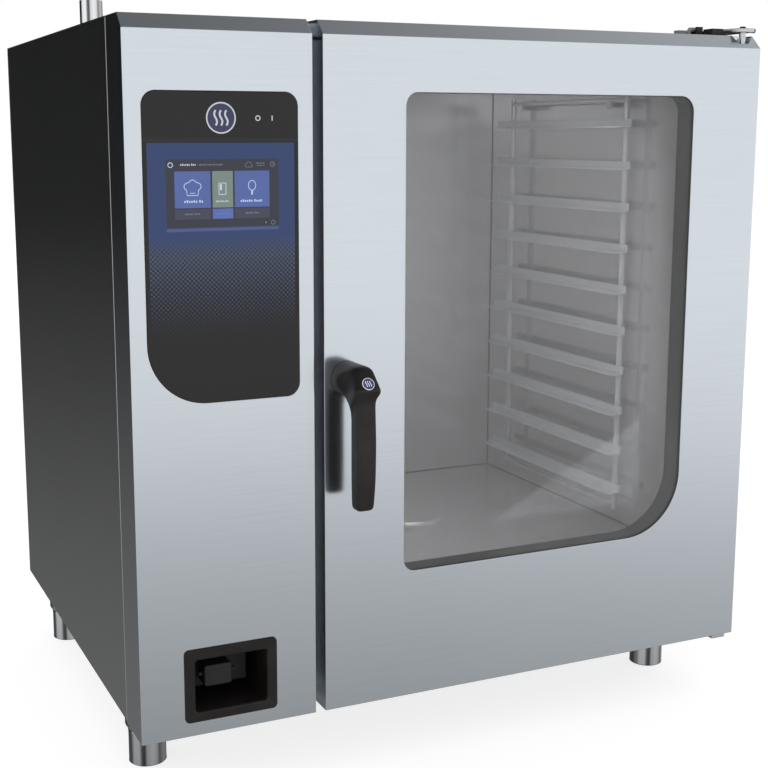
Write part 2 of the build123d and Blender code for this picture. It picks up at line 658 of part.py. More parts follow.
def air_baffle():
    """Fan cover sheet on spacers, with a guarded intake and outlet slots at its edges."""
    y0, y1 = CAVITY_FRONT + 12, CAVITY_REAR - 22
    z0, z1 = CAVITY_BOTTOM + 16, CAVITY_TOP - 16
    sheet = block(BAFFLE_X, BAFFLE_X + SHEET, y0, y1, z0, z1)
    sheet += block(BAFFLE_X - 16, BAFFLE_X + SHEET, y0, y0 + SHEET, z0, z1)
    sheet += block(BAFFLE_X - 16, BAFFLE_X + SHEET, y1 - SHEET, y1, z0, z1)
    sheet -= rod_x(118, BAFFLE_X - 1, BAFFLE_X + 5, FAN_Y, FAN_Z)
    for radius in (24, 48, 72, 96):
        ring = rod_x(radius + 3, BAFFLE_X - 1, BAFFLE_X + 2.5, FAN_Y, FAN_Z)
        sheet += ring - rod_x(radius, BAFFLE_X - 2, BAFFLE_X + 3, FAN_Y, FAN_Z)
    for k in range(4):
        bar = Pos(BAFFLE_X + 0.75, FAN_Y, FAN_Z) * Rot(45 * k, 0, 0) * Box(3.5, 240, 4)
        sheet += bar
    slot = Rot(0, 90, 0) * extrude(SlotOverall(60, 7), amount=8)
    for k in range(8):
        for y in (y0 + 22, y0 + 38, y1 - 38, y1 - 22):
            sheet -= Pos(BAFFLE_X - 4, y, z0 + 52 + 88 * k) * slot
    sheet -= rod_x(INJECTOR_RADIUS + 1.5, BAFFLE_X - 5, BAFFLE_X + 5, INJECTOR_Y, INJECTOR_Z)
    for y in (y0 + 60, y1 - 60):
        for z in (z0 + 30, z1 - 30):
            sheet += rod_x(5, CAVITY_LEFT + 0.1, BAFFLE_X, y, z)
            sheet += rod_x(8, BAFFLE_X + SHEET, BAFFLE_X + 5, y, z)
    return sheet


def fan_wheel():
    """Radial wheel: back plate, front ring and curved-back blades on a hub."""
    x0, x1 = CAVITY_LEFT + 9, BAFFLE_X - 8
    wheel = rod_x(FAN_RADIUS, x0, x0 + 2, FAN_Y, FAN_Z)
    wheel += rod_x(22, x0, x1 - 6, FAN_Y, FAN_Z)
    rim = rod_x(FAN_RADIUS, x1 - 2, x1, FAN_Y, FAN_Z)
    rim -= rod_x(FAN_RADIUS - 34, x1 - 3, x1 + 1, FAN_Y, FAN_Z)
    wheel += rim
    blade_count = 16
    for k in range(blade_count):
        blade = Pos((x0 + x1) / 2, FAN_Y, FAN_Z) * Rot(360 / blade_count * k, 0, 0) * \
            Pos(0, FAN_RADIUS - 28, 0) * Rot(35, 0, 0) * Box(x1 - x0 - 2, 46, 2)
        wheel += blade
    wheel -= rod_x(SHAFT_RADIUS, x0 - 1, x1 + 1, FAN_Y, FAN_Z)
    return wheel


def fan_shaft():
    """Motor shaft that carries the fan wheel, with its end nut."""
    shaft = rod_x(SHAFT_RADIUS, MOTOR_FACE - 120, BAFFLE_X - 14, FAN_Y, FAN_Z)
    nut = extrude(RegularPolygon(15, 6), amount=7)
    return shaft + Pos(BAFFLE_X - 14, FAN_Y, FAN_Z) * Rot(0, 90, 0) * nut


def motor_plate():
    """Mounting plate of the motor outside the insulation, with a bushed hub into the wall."""
    x1 = CAVITY_LEFT - SHEET - INSULATION - 1
    plate = block(x1 - 4, x1, FAN_Y - 110, FAN_Y + 110, FAN_Z - 110, FAN_Z + 110)
    plate += rod_x(21, x1, CAVITY_LEFT + 2, FAN_Y, FAN_Z)
    plate -= rod_x(SHAFT_RADIUS + RUNNING, x1 - 20, CAVITY_LEFT + 10, FAN_Y, FAN_Z)
    return plate


def fan_motor():
    """Motor with end shields, cooling ribs and a bore for the shaft."""
    x1 = MOTOR_FACE
    x0 = x1 - MOTOR_LENGTH
    motor = rod_x(MOTOR_RADIUS - 6, x0, x1, FAN_Y, FAN_Z)
    motor += rod_x(MOTOR_RADIUS + 8, x1 - 8, x1, FAN_Y, FAN_Z)
    motor += rod_x(MOTOR_RADIUS, x0, x0 + 12, FAN_Y, FAN_Z)
    ribs = 20
    for k in range(ribs):
        rib = Pos((x0 + x1) / 2, FAN_Y, FAN_Z) * Rot(360 / ribs * k, 0, 0) * \
            Pos(0, MOTOR_RADIUS - 5, 0) * Box(120, 10, 3)
        motor += rib
    motor += block(x0 + 50, x0 + 120, FAN_Y - 35, FAN_Y + 35, FAN_Z + 50, FAN_Z + 92)
    motor -= rod_x(SHAFT_RADIUS + RUNNING, x1 - 123, x1 + 1, FAN_Y, FAN_Z)
    return motor


def heater_leads(radius):
    """Places where one heater ring's two leads pass the wall."""
    y = FAN_Y + radius * cos(HEATER_LEAD_ANGLE)
    rise = radius * sin(HEATER_LEAD_ANGLE)
    return [(y, FAN_Z - rise), (y, FAN_Z + rise)]


def heating_elements():
    """Three tubular heaters, one inside the other, around the fan wheel."""
    x = (CAVITY_LEFT + BAFFLE_X) / 2
    open_angle = HEATER_LEAD_ANGLE * 180 / pi
    group = []
    for radius in HEATER_RADII:
        path = Plane.YZ * CenterArc((0, 0), radius, open_angle, 360 - 2 * open_angle)
        section = Plane(origin=path @ 0, z_dir=path % 0) * Circle(HEATER_WIRE)
        element = Pos(x, FAN_Y, FAN_Z) * sweep(section, path=path)
        for y, z in heater_leads(radius):
            element += rod_x(HEATER_LEAD, CAVITY_LEFT - 70, x + HEATER_WIRE, y, z)
        group.append(element)
    return group


def water_injector():
    """Pipe that brings water from outside the wall to the fan hub for steam."""
    x0, x1 = CAVITY_LEFT - 80, BAFFLE_X + 8
    points = [(x0, INJECTOR_Y, INJECTOR_Z), (x1, INJECTOR_Y, INJECTOR_Z),
              (x1, FAN_Y, INJECTOR_Z), (x1, FAN_Y, FAN_Z + 12)]
    return pipe_run(points, INJECTOR_RADIUS, 1.0, 8)


# ---- drain --------------------------------------------------------------------------------
def drain_strainer():
    """Raised perforated cover over the drain."""
    z0 = CAVITY_BOTTOM + 0.1
    cap = rod_z(STRAINER_RADIUS, z0, z0 + 12, DRAIN_X, DRAIN_Y)
    cap = chamfer(cap.edges().group_by(Axis.Z)[-1], 5)
    cap -= rod_z(STRAINER_RADIUS - 7, z0 - 1, z0 + 10, DRAIN_X, DRAIN_Y)
    for ring, count in ((14, 6), (27, 11), (40, 16)):
        for k in range(count):
            angle = 2 * pi * k / count
            cap -= rod_z(4, z0, z0 + 20, DRAIN_X + ring * cos(angle), DRAIN_Y + ring * sin(angle))
    cap -= rod_z(4, z0, z0 + 20, DRAIN_X, DRAIN_Y)
    return cap


def drain_pipe():
    """Drain from the cavity floor down and out through the back, ending in a spigot."""
    radius = DRAIN_RADIUS - SPIGOT_STEP
    bore = DRAIN_RADIUS - 2.0
    points = [(DRAIN_X, DRAIN_Y, CAVITY_BOTTOM - SHEET - 0.2), (DRAIN_X, DRAIN_Y, DRAIN_Z),
              (DRAIN_X, SPIGOT_END, DRAIN_Z)]
    pipe = pipe_run(points, radius, radius - bore, 38)
    pipe += rod_y(DRAIN_RADIUS, SPIGOT_START, SPIGOT_END, DRAIN_X, DRAIN_Z)
    return pipe - rod_y(bore, SPIGOT_START - 5, SPIGOT_END + 1, DRAIN_X, DRAIN_Z)


# ---- racks --------------------------------------------------------------------------------
HOOK_Z = RACK_TOP_RAIL + 30
REST_Z = RACK_TOP_RAIL - RACK_PITCH * (RACK_LEVELS - 1) - 40


def rack(wall_x, inward):
    """Hanging rack: two posts with cross bars, and a folded rail at each level."""
    post_x = wall_x + inward * RACK_OFFSET
    frame = None
    for y in (POST_REAR, POST_FRONT):
        post = rod_z(POST_RADIUS, REST_Z, HOOK_Z + 18, post_x, y)
        frame = post if frame is None else frame + post
    for z in (HOOK_Z + 8, REST_Z + 8):
        frame += rod_y(POST_RADIUS - 1, POST_FRONT, POST_REAR, post_x, z)
    for k in range(RACK_LEVELS):
        z = RACK_TOP_RAIL - RACK_PITCH * k
        web = sorted((post_x + inward * 3.5, post_x + inward * (3.5 + RAIL_SHEET)))
        flange = sorted((post_x + inward * 3.5, post_x + inward * (3.5 + RAIL_FLANGE)))
        frame += block(*web, RACK_FRONT, RACK_REAR, z - RAIL_HEIGHT / 2, z + RAIL_HEIGHT / 2)
        low = z - RAIL_HEIGHT / 2
        frame += block(*flange, RACK_FRONT, RACK_REAR, low, low + RAIL_SHEET)
    return frame


def rack_left():
    """Rack on the fan cover side."""
    return rack(BAFFLE_X + SHEET, 1)


def rack_right():
    """Rack on the right cavity wall."""
    return rack(CAVITY_RIGHT, -1)


def rack_studs():
    """Headed studs under the top bar of each rack, and plain studs behind its lower bar."""
    group = []
    for wall_x, inward in ((CAVITY_RIGHT, -1), (BAFFLE_X + SHEET, 1)):
        bar_z = HOOK_Z + 8 - (POST_RADIUS - 1) - 0.05
        for y in (POST_REAR - 40, POST_FRONT + 40):
            a, b = sorted((wall_x + inward * 0.1, wall_x + inward * (RACK_OFFSET + 9)))
            stud = rod_x(4, a, b, y, bar_z - 4)
            head = sorted((wall_x + inward * (RACK_OFFSET + 6), wall_x + inward * (RACK_OFFSET + 9)))
            stud += rod_x(7, *head, y, bar_z - 4)
            group.append(stud)
            a, b = sorted((wall_x + inward * 0.1, wall_x + inward * (RACK_OFFSET - POST_RADIUS)))
            group.append(rod_x(5, a, b, y, REST_Z + 26))
    return group


# ---- door ---------------------------------------------------------------------------------
def pocket_prism(grow, bottom, top):
    """Space of the hinge pocket: wide at the roof's edge, narrower towards the front."""
    outline = [(957.5, 33), (957.5, 20), (960.5, 7.5), (979, 7.5), (993.3, 18.5), (993.3, 33)]
    face = make_face(Polyline(*outline, close=True))
    if grow:
        face = offset(face, grow)
    return Pos(0, 0, bottom) * extrude(face, amount=top - bottom)


def door_skin():
    """Outer door shell with the window opening, the hinge pocket and the handle hole."""
    shell = front_shell(DOOR_LEFT, WIDTH, DOOR_DEPTH, 14)
    cup = pocket_prism(SHEET, HEIGHT - POCKET_DEPTH - SHEET, HEIGHT)
    solid = Polyline((0, 0), (DOOR_DEPTH, 0), (DOOR_DEPTH, HEIGHT), (CHAMFER_DEPTH, HEIGHT),
                     (0, HEIGHT - CHAMFER_HEIGHT), close=True)
    envelope = Pos(DOOR_LEFT, 0, 0) * extrude(Plane.YZ * make_face(solid), amount=WIDTH - DOOR_LEFT)
    shell += cup & envelope
    shell -= pocket_prism(0, HEIGHT - POCKET_DEPTH, HEIGHT + 1)
    shell -= rod_z(BUSH_RADIUS, HEIGHT - POCKET_DEPTH - 5, HEIGHT - POCKET_DEPTH + 1, HINGE_X, HINGE_Y)
    shell -= rod_z(BUSH_RADIUS, -1, SHEET + 1, HINGE_X, HINGE_Y)
    shell -= upright(window_face(0), -1, SHEET + 1)
    shell -= rod_y(12, -1, SHEET + 1, HANDLE_X, HANDLE_Z)
    latch_gap = 12
    shell -= block(KEEPER_X - latch_gap, HANDLE_X, DOOR_DEPTH - 2 * SHEET, DOOR_DEPTH + 1,
                   HANDLE_Z - latch_gap, HANDLE_Z + latch_gap)
    return shell


def door_outer_glass():
    """Front pane directly behind the sheet."""
    return upright(window_face(10), SHEET + 0.3, SHEET + 5.3)


def window_surround():
    """Dark spacer frame that forms the reveal between the panes."""
    return upright(window_face(10), SHEET + 5.5, SURROUND_BACK) - upright(window_face(0.5), 0, 60)


def led_strips():
    """Two light bars beside the window, behind the spacer frame."""
    group = []
    for x in (WINDOW_LEFT - 16, WINDOW_RIGHT + 16):
        group.append(block(x - 4, x + 4, SURROUND_BACK + 1, SURROUND_BACK + 11, 300, 760))
    return group


def door_liner():
    """Inner door sheet with the latch slot and a turned-in lip around its window opening."""
    inset = SHEET + GAP
    liner = block(DOOR_LEFT + inset, WIDTH - inset, 58, 58 + SHEET, inset, HEIGHT - inset)
    liner += upright(window_face(25 + SHEET), 54, 58 + SHEET)
    liner -= upright(window_face(25), 50, 62)
    liner -= block(KEEPER_X - 10, HANDLE_X + 12, 50, 70, HANDLE_Z - 16, HANDLE_Z + 16)
    liner -= rod_z(BUSH_RADIUS + 1, -1, 30, HINGE_X, HINGE_Y)
    return liner


PANE_MARGIN = 12.0
PANE_LEFT = OPENING_LEFT - 9
PANE_RIGHT = CAVITY_RIGHT + PANE_MARGIN
PANE_FRONT = 65.5


def door_inner_glass():
    """Rear pane that meets the cavity seal."""
    pane = corner_face(
        PANE_LEFT, PANE_RIGHT, CAVITY_BOTTOM - PANE_MARGIN, CAVITY_TOP + PANE_MARGIN, *[12] * 4)
    return upright(pane, PANE_FRONT, PANE_FRONT + 6)


def glass_clips():
    """Two pivot clips on the right and two turn clips on the left hold the rear pane."""
    group = []
    for z in (CAVITY_BOTTOM + 90, CAVITY_TOP - 90):
        for x_edge, side in ((PANE_LEFT, -1), (PANE_RIGHT, 1)):
            a, b = sorted((x_edge + side * 0.3, x_edge + side * 14))
            clip = block(a, b, 60, PANE_FRONT + 7, z - 15, z + 15)
            a, b = sorted((x_edge - side * 8, x_edge + side * 14))
            clip += block(a, b, 60, PANE_FRONT - 0.3, z - 15, z + 15)
            group.append(clip)
    return group


def hinge_bushes():
    """Flanged bushes in the top and bottom of the door for the hinge pins."""
    group = []
    z_top = HEIGHT - POCKET_DEPTH
    upper = rod_z(BUSH_RADIUS - 0.05, z_top - 24, z_top, HINGE_X, HINGE_Y)
    upper += rod_z(BUSH_RADIUS + 1.2, z_top, z_top + 1.5, HINGE_X, HINGE_Y)
    upper -= rod_z(PIN_RADIUS + RUNNING, z_top - 30, z_top + 5, HINGE_X, HINGE_Y)
    lower = rod_z(BUSH_RADIUS - 0.05, -0.2, 24, HINGE_X, HINGE_Y)
    lower += rod_z(BUSH_RADIUS + 3, -1.5, -0.05, HINGE_X, HINGE_Y)
    lower -= rod_z(PIN_RADIUS + RUNNING, -5, 30, HINGE_X, HINGE_Y)
    group.extend([upper, lower])
    return group


def bottom_hinge_bracket():
    """Bracket under the housing that carries the lower hinge pin."""
    z1 = -3.0
    bracket = block(HINGE_X - 14, HINGE_X + 12, 6, 128, z1 - 5, z1)
    bracket += block(HINGE_X - 14, HINGE_X + 12, BODY_FRONT + 8, 128, z1, 2.9)
    bracket += rod_z(PIN_RADIUS, z1 - 7, 22, HINGE_X, HINGE_Y)
    return bracket


# ---- handle -------------------------------------------------------------------------------
def handle_rosette():
    """Bush through the door sheets with a flat flange outside."""
    bush = rod_y(11.9, -0.05, 52, HANDLE_X, HANDLE_Z)
    bush += rod_y(NECK_RADIUS - 2, -2.5, -0.05, HANDLE_X, HANDLE_Z)
    bush -= rod_y(SPINDLE_RADIUS + RUNNING, -5, 55, HANDLE_X, HANDLE_Z)
    return bush


def handle_lever():
    """Angled lever: round neck at the door, faceted head, and a grip hanging down."""
    top = HANDLE_Z + NECK_RADIUS
    y_door = -3.0
    elbow = 26.0
    inner = 25.0
    under = HANDLE_Z - NECK_RADIUS
    edges = [
        Line((y_door, under), (GRIP_BACK + inner, under)),
        CenterArc((GRIP_BACK + inner, under - inner), inner, 90, 90),
        Line((GRIP_BACK, under - inner), (GRIP_BACK, GRIP_BOTTOM)),
        Line((GRIP_BACK, GRIP_BOTTOM), (GRIP_FRONT + 5, GRIP_BOTTOM)),
        Line((GRIP_FRONT + 5, GRIP_BOTTOM), (GRIP_FRONT, GRIP_BOTTOM + 10)),
        Line((GRIP_FRONT, GRIP_BOTTOM + 10), (GRIP_FRONT, HANDLE_Z - 22)),
        Line((GRIP_FRONT, HANDLE_Z - 22), (HANDLE_FRONT, HANDLE_Z - 12)),
        Line((HANDLE_FRONT, HANDLE_Z - 12), (HANDLE_FRONT, top - elbow)),
        CenterArc((HANDLE_FRONT + elbow, top - elbow), elbow, 90, 90),
        Line((HANDLE_FRONT + elbow, top), (y_door, top)),
        Line((y_door, top), (y_door, under)),
    ]
    side = make_face(Curve() + edges)
    lever = Pos(HANDLE_X - GRIP_WIDTH / 2, 0, 0) * extrude(Plane.YZ * side, amount=GRIP_WIDTH)
    neck = rod_y(NECK_RADIUS, -44, y_door, HANDLE_X, HANDLE_Z)
    head = upright(
        corner_face(HANDLE_X - 20, HANDLE_X + 20, HANDLE_Z - 16, HANDLE_Z + 18, 12, 12, 6, 6),
        HANDLE_FRONT + 2, -40)
    lever += neck + head
    lever -= rod_y(SPINDLE_RADIUS, -50, 0, HANDLE_X, HANDLE_Z)
    return lever


def handle_spindle():
    """Round spindle from the lever through the door."""
    return rod_y(SPINDLE_RADIUS, -50, TONGUE_BACK + 1, HANDLE_X, HANDLE_Z)


def latch_tongue():
    """Upright tongue on the spindle end that turns behind the head of the keeper bolt."""
    half_width = 7.5
    tongue = block(HANDLE_X - half_width, HANDLE_X + half_width, TONGUE_FRONT, TONGUE_BACK,
                   HANDLE_Z - TONGUE_REACH, HANDLE_Z + TONGUE_REACH)
    tongue = fillet(tongue.edges().filter_by(Axis.Y), 2.5)
    return tongue - rod_y(SPINDLE_RADIUS, TONGUE_FRONT - 1, TONGUE_BACK + 1, HANDLE_X, HANDLE_Z)


# ---- electrics ----------------------------------------------------------------------------
def electrical_panel():
    """Mounting sheet for switching gear beside the left casing."""
    panel = block(14, 16, 130, 440, 560, 900)
    panel += block(14, 30, 130, 132, 560, 900)
    return panel


def contactors():
    """Three equal contactors on the mounting sheet."""
    group = []
    for k in range(3):
        y = 160 + 85 * k
        unit = block(16.1, 70, y, y + 55, 700, 790)
        unit -= block(60, 75, y + 8, y + 47, 775, 800)
        group.append(unit)
    return group


# ---- feet ---------------------------------------------------------------------------------
def foot_sleeves():
    """Four fixed sleeves under the frame, each bored for its adjustable foot."""
    sleeve = Pos(0, 0, -SLEEVE_HEIGHT / 2 + 1) * Cylinder(SLEEVE_RADIUS, SLEEVE_HEIGHT)
    cone_height = 6.0
    cone = Cone(SLEEVE_RADIUS - 3.5, SLEEVE_RADIUS, cone_height)
    sleeve += Pos(0, 0, 1 - SLEEVE_HEIGHT - cone_height / 2) * cone
    sleeve -= rod_z(FOOT_NECK + RUNNING, -80, -8, 0, 0)
    sleeve -= rod_z(STUD_RADIUS + RUNNING, -10, 5, 0, 0)
    return at_feet(sleeve)


def adjustable_foot(x, y):
    """Lower foot with its threaded stud drawn plain."""
    top = -30.0
    foot = rod_z(FOOT_RADIUS, -LEG_HEIGHT, FOOT_SHOULDER, x, y)
    foot = chamfer(foot.edges().group_by(Axis.Z)[0], 0.4)
    foot += rod_z(FOOT_NECK, FOOT_SHOULDER, top, x, y)
    return foot + rod_z(STUD_RADIUS, top, -top, x, y)


def feet():
    """The four adjustable feet by node name."""
    placed = {}
    for side, x in (("left", FOOT_INSET), ("right", WIDTH - FOOT_INSET)):
        for row, y in (("front", FOOT_FRONT), ("rear", FOOT_REAR)):
            placed[f"foot_{row}_{side}"] = adjustable_foot(x, y)
    return placed


# ---- output -------------------------------------------------------------------------------
SUB_PARTS = [
    base_frame, bottom_panel, left_side_panel, right_side_panel, top_panel, rear_panel,
    water_inlets, cable_gland, solenoid_valves, vent_pipe, top_hinge_plate, hinge_screws,
    door_switch, switch_cable, control_housing, control_glass, display_module, control_board,
    shower_recess, hand_shower, shower_hose, hose_reel, reel_bracket, front_frame, latch_keeper,
    door_gasket, cavity_liner, insulation, air_baffle, fan_wheel, fan_shaft, motor_plate,
    fan_motor, heating_elements, water_injector, drain_strainer, drain_pipe, rack_left, rack_right,
    rack_studs, door_skin, door_outer_glass, window_surround, led_strips, door_liner,
    door_inner_glass, glass_clips, hinge_bushes, bottom_hinge_bracket, handle_rosette,
    handle_lever, handle_spindle, latch_tongue, electrical_panel, contactors, foot_sleeves,
]


def save(node, shape):
    """Write one sub-part in the part frame."""
    if isinstance(shape, list):
        shape = Compound([PART_ORIGIN * solid for piece in shape for solid in piece.solids()])
    else:
        shape = PART_ORIGIN * shape
    export_step(shape, f"parts/{node}.step")


def main():
    """Build and write every sub-part."""
    os.makedirs("parts", exist_ok=True)
    for sub_part in SUB_PARTS:
        save(sub_part.__name__, sub_part())
    for node, foot in feet().items():
        save(node, foot)


main()
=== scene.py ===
"""Looks of a ten-level combi steamer oven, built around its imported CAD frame."""
import json
from math import atan2, cos, pi, radians, sin, tau

import bmesh
import bpy
from mathutils import Euler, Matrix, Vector


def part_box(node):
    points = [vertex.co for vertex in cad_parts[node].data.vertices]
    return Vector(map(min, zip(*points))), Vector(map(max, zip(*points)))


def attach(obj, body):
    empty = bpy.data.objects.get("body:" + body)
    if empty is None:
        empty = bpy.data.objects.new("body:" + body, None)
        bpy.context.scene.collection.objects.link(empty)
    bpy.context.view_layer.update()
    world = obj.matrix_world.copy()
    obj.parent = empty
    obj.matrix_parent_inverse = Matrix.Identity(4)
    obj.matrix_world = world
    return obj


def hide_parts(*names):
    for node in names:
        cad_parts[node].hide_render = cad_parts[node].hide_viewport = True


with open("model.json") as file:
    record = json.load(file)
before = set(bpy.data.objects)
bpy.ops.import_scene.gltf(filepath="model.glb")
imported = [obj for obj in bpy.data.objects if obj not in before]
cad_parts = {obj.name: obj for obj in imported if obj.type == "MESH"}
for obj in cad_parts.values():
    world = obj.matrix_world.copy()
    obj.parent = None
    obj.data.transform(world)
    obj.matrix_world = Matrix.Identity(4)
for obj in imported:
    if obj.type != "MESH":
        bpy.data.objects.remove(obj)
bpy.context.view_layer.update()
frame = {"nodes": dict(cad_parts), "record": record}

NODES = frame["nodes"]
SLOTS = {part["node"]: part["material_slot"] for part in frame["record"]["subparts"]}
MM = 0.001
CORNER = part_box("control_housing")[0]     # lower front left corner of the housing


def at(x, y, z):
    """Point in metres, given millimetres right, back and up of the housing's lower front corner."""
    return CORNER + Vector((x, y, z)) * MM


# ---- node materials -----------------------------------------------------------------------
MIX_FACTOR, MIX_A, MIX_B = 0, 6, 7      # colour inputs of a mix node
MIX_OUT = 2                             # its colour output


class Shader:
    """A node material around one Principled shader, in the object's own coordinates."""

    def __init__(self, name):
        self.material = bpy.data.materials.new(name)
        self.material.use_nodes = True
        tree = self.material.node_tree
        self.nodes, self.links = tree.nodes, tree.links
        self.bsdf = self.nodes["Principled BSDF"]
        self.output = self.nodes["Material Output"]
        self.place = self.add("ShaderNodeTexCoord").outputs["Object"]

    def add(self, kind, **settings):
        node = self.nodes.new(kind)
        for key, value in settings.items():
            setattr(node, key, value)
        return node

    def feed(self, socket, value):
        if isinstance(value, bpy.types.NodeSocket):
            self.links.new(value, socket)
        elif isinstance(value, tuple) and len(value) == 3 and socket.type == "RGBA":
            socket.default_value = (*value, 1.0)
        else:
            socket.default_value = value

    def set(self, **values):
        """Principled inputs by name, with _ for a space."""
        for key, value in values.items():
            self.feed(self.bsdf.inputs[key.replace("_", " ")], value)

    def math(self, operation, *values, clamp=False):
        node = self.add("ShaderNodeMath", operation=operation, use_clamp=clamp)
        for socket, value in zip(node.inputs, values):
            self.feed(socket, value)
        return node.outputs[0]

    def remap(self, value, from_a, from_b, to_a, to_b, smooth=False):
        node = self.add("ShaderNodeMapRange", interpolation_type="SMOOTHSTEP" if smooth else "LINEAR")
        for socket, number in zip(node.inputs, (value, from_a, from_b, to_a, to_b)):
            self.feed(socket, number)
        return node.outputs[0]

    def mix(self, factor, a, b, blend="MIX"):
        node = self.add("ShaderNodeMix", data_type="RGBA", blend_type=blend)
        self.feed(node.inputs[MIX_FACTOR], factor)
        self.feed(node.inputs[MIX_A], a)
        self.feed(node.inputs[MIX_B], b)
        return node.outputs[MIX_OUT]

    def ramp(self, value, stops):
        node = self.add("ShaderNodeValToRGB")
        elements = node.color_ramp.elements
        while len(elements) < len(stops):
            elements.new(0.5)
        for element, (position, colour) in zip(elements, stops):
            element.position = position
            element.color = (*colour, 1.0)
        self.feed(node.inputs[0], value)
        return node.outputs[0]

    def noise(self, scale, detail=3.0, stretch=(1, 1, 1), rough=0.55):
        mapping = self.add("ShaderNodeMapping")
        mapping.inputs["Scale"].default_value = stretch
        self.feed(mapping.inputs["Vector"], self.place)
        node = self.add("ShaderNodeTexNoise")
        self.feed(node.inputs["Vector"], mapping.outputs[0])
        node.inputs["Scale"].default_value = scale
        node.inputs["Detail"].default_value = detail
        node.inputs["Roughness"].default_value = rough
        return node.outputs["Fac"]

    def cells(self, scale, feature="F1", output="Distance"):
        node = self.add("ShaderNodeTexVoronoi", feature=feature)
        self.feed(node.inputs["Vector"], self.place)
        node.inputs["Scale"].default_value = scale
        return node.outputs[output]

    def bump(self, height, distance, strength=1.0):
        node = self.add("ShaderNodeBump")
        node.inputs["Strength"].default_value = strength
        node.inputs["Distance"].default_value = distance
        self.feed(node.inputs["Height"], height)
        self.feed(self.bsdf.inputs["Normal"], node.outputs[0])
        return node

    def axes(self):
        """The place as millimetres right, back and up of the housing's lower front corner."""
        split = self.add("ShaderNodeSeparateXYZ")
        self.feed(split.inputs[0], self.place)
        return [self.math("MULTIPLY", self.math("SUBTRACT", split.outputs[k], CORNER[k]), 1 / MM)
                for k in range(3)]


def linear(red, green, blue):
    """Linear colour from an sRGB colour of 0 to 255."""
    return tuple(((c / 255 + 0.055) / 1.055) ** 2.4 if c > 10 else c / 3294 for c in (red, green, blue))


FINE = 160                      # how much denser the grain is across the brushing than along it
GRAIN = {"x": (1, FINE, FINE), "y": (FINE, 1, FINE), "z": (FINE, FINE, 1)}
# painted reflection: brightness of a polished round part by the sideways lean of its surface, from left to
# right, put into its colour
PAINTED_REFLECTION_BANDS = [(0.0, 0.3), (0.03, 0.35), (0.07, 0.95), (0.17, 1.0), (0.23, 0.2), (0.3, 0.1),
              (0.36, 0.75), (0.5, 1.0), (0.62, 0.8), (0.7, 0.25), (0.8, 0.5)]
BLACK = (0.0, 0.0, 0.0)
WHITE = (1.0, 1.0, 1.0)


def dimmed(colour, share):
    return tuple(share * c for c in colour)


def brushed_steel(name, colour, roughness, along, anisotropy=0.55, streak=0.05, cloud=0.02, metal=1.0):
    """Brushed stainless steel with fine lines along one axis, soft smudges and a faint scratch set."""
    s = Shader(name)
    lines = s.noise(7.0, 6.0, GRAIN[along], 0.7)
    fine = s.noise(26.0, 3.0, GRAIN[along], 0.6)
    smudge = s.noise(3.1, 5.0)
    blotch = s.noise(11.0, 3.0)
    shade = s.math("ADD", s.remap(lines, 0.3, 0.7, 1 - streak, 1 + streak),
                   s.remap(smudge, 0.35, 0.65, -0.012, 0.012))
    tint = s.mix(1.0, colour, s.ramp(shade, [(0.0, BLACK), (1.0, WHITE)]), "MULTIPLY")
    rough = s.math("ADD", s.remap(fine, 0.3, 0.7, roughness - 0.035, roughness + 0.035),
                   s.remap(s.math("MULTIPLY", smudge, blotch), 0.15, 0.4, 0.0, cloud))
    tangent = s.add("ShaderNodeTangent", direction_type="RADIAL", axis="Z" if along != "z" else "X")
    s.set(Base_Color=tint, Metallic=metal, Roughness=rough, Anisotropic=anisotropy,
          Tangent=tangent.outputs[0])
    s.bump(fine, 0.00002, 0.35)
    return s.material


def polished(name, colour, roughness, painted_bands=False):
    """Polished metal with hairline scratches and faint stains; with painted_bands, a painted reflection
    darkens it in upright bands by the sideways lean of its surface.
    """
    s = Shader(name)
    hair = s.noise(9.0, 6.0, (90, 90, 4), 0.75)
    stain = s.noise(14.0, 4.0)
    tint = s.mix(s.remap(stain, 0.35, 0.7, 0.0, 0.25), colour, dimmed(colour, 0.8))
    # painted reflection: the colour darkens in upright bands by which way the surface faces
    if painted_bands:
        split = s.add("ShaderNodeSeparateXYZ")
        s.feed(split.inputs[0], s.add("ShaderNodeNewGeometry").outputs["Normal"])
        facing = s.math("MULTIPLY_ADD", split.outputs[0], 0.5, 0.5)
        bands = s.ramp(facing, [(lean, (level,) * 3) for lean, level in PAINTED_REFLECTION_BANDS])
        tint = s.mix(1.0, tint, bands, "MULTIPLY")
    s.set(Base_Color=tint, Metallic=1.0,
          Roughness=s.remap(hair, 0.3, 0.75, roughness * 0.6, roughness * 1.7))
    s.bump(hair, 0.00001, 0.3)
    return s.material


def galvanised(name):
    """Zinc-coated sheet with its crystal flowers."""
    s = Shader(name)
    flower = s.cells(120.0, output="Color")
    s.set(Base_Color=s.ramp(flower, [(0.25, (0.42, 0.44, 0.46)), (0.75, (0.58, 0.60, 0.62))]),
          Metallic=0.95, Roughness=s.remap(s.cells(95.0), 0.0, 0.9, 0.34, 0.56))
    s.bump(s.noise(300.0, 3.0), 0.00003, 0.3)
    return s.material


def moulded(name, colour, roughness, grain=0.00006, scale=1400.0, lift=0.25, shine=0.5):
    """Moulded plastic or rubber with a fine grain, slight gloss changes and rubbed spots."""
    s = Shader(name)
    skin = s.noise(scale, 3.0)
    rub = s.noise(28.0, 4.0)
    bright = tuple(min(1.0, c * (1 + lift) + 0.004) for c in colour)
    s.set(Base_Color=s.mix(s.remap(rub, 0.42, 0.72, 0.0, 1.0), colour, bright),
          Roughness=s.math("ADD", s.remap(rub, 0.3, 0.7, roughness + 0.05, roughness - 0.06),
                           s.remap(skin, 0.3, 0.7, -0.03, 0.03)),
          Specular_IOR_Level=shine)
    s.bump(skin, grain, 0.6)
    return s.material


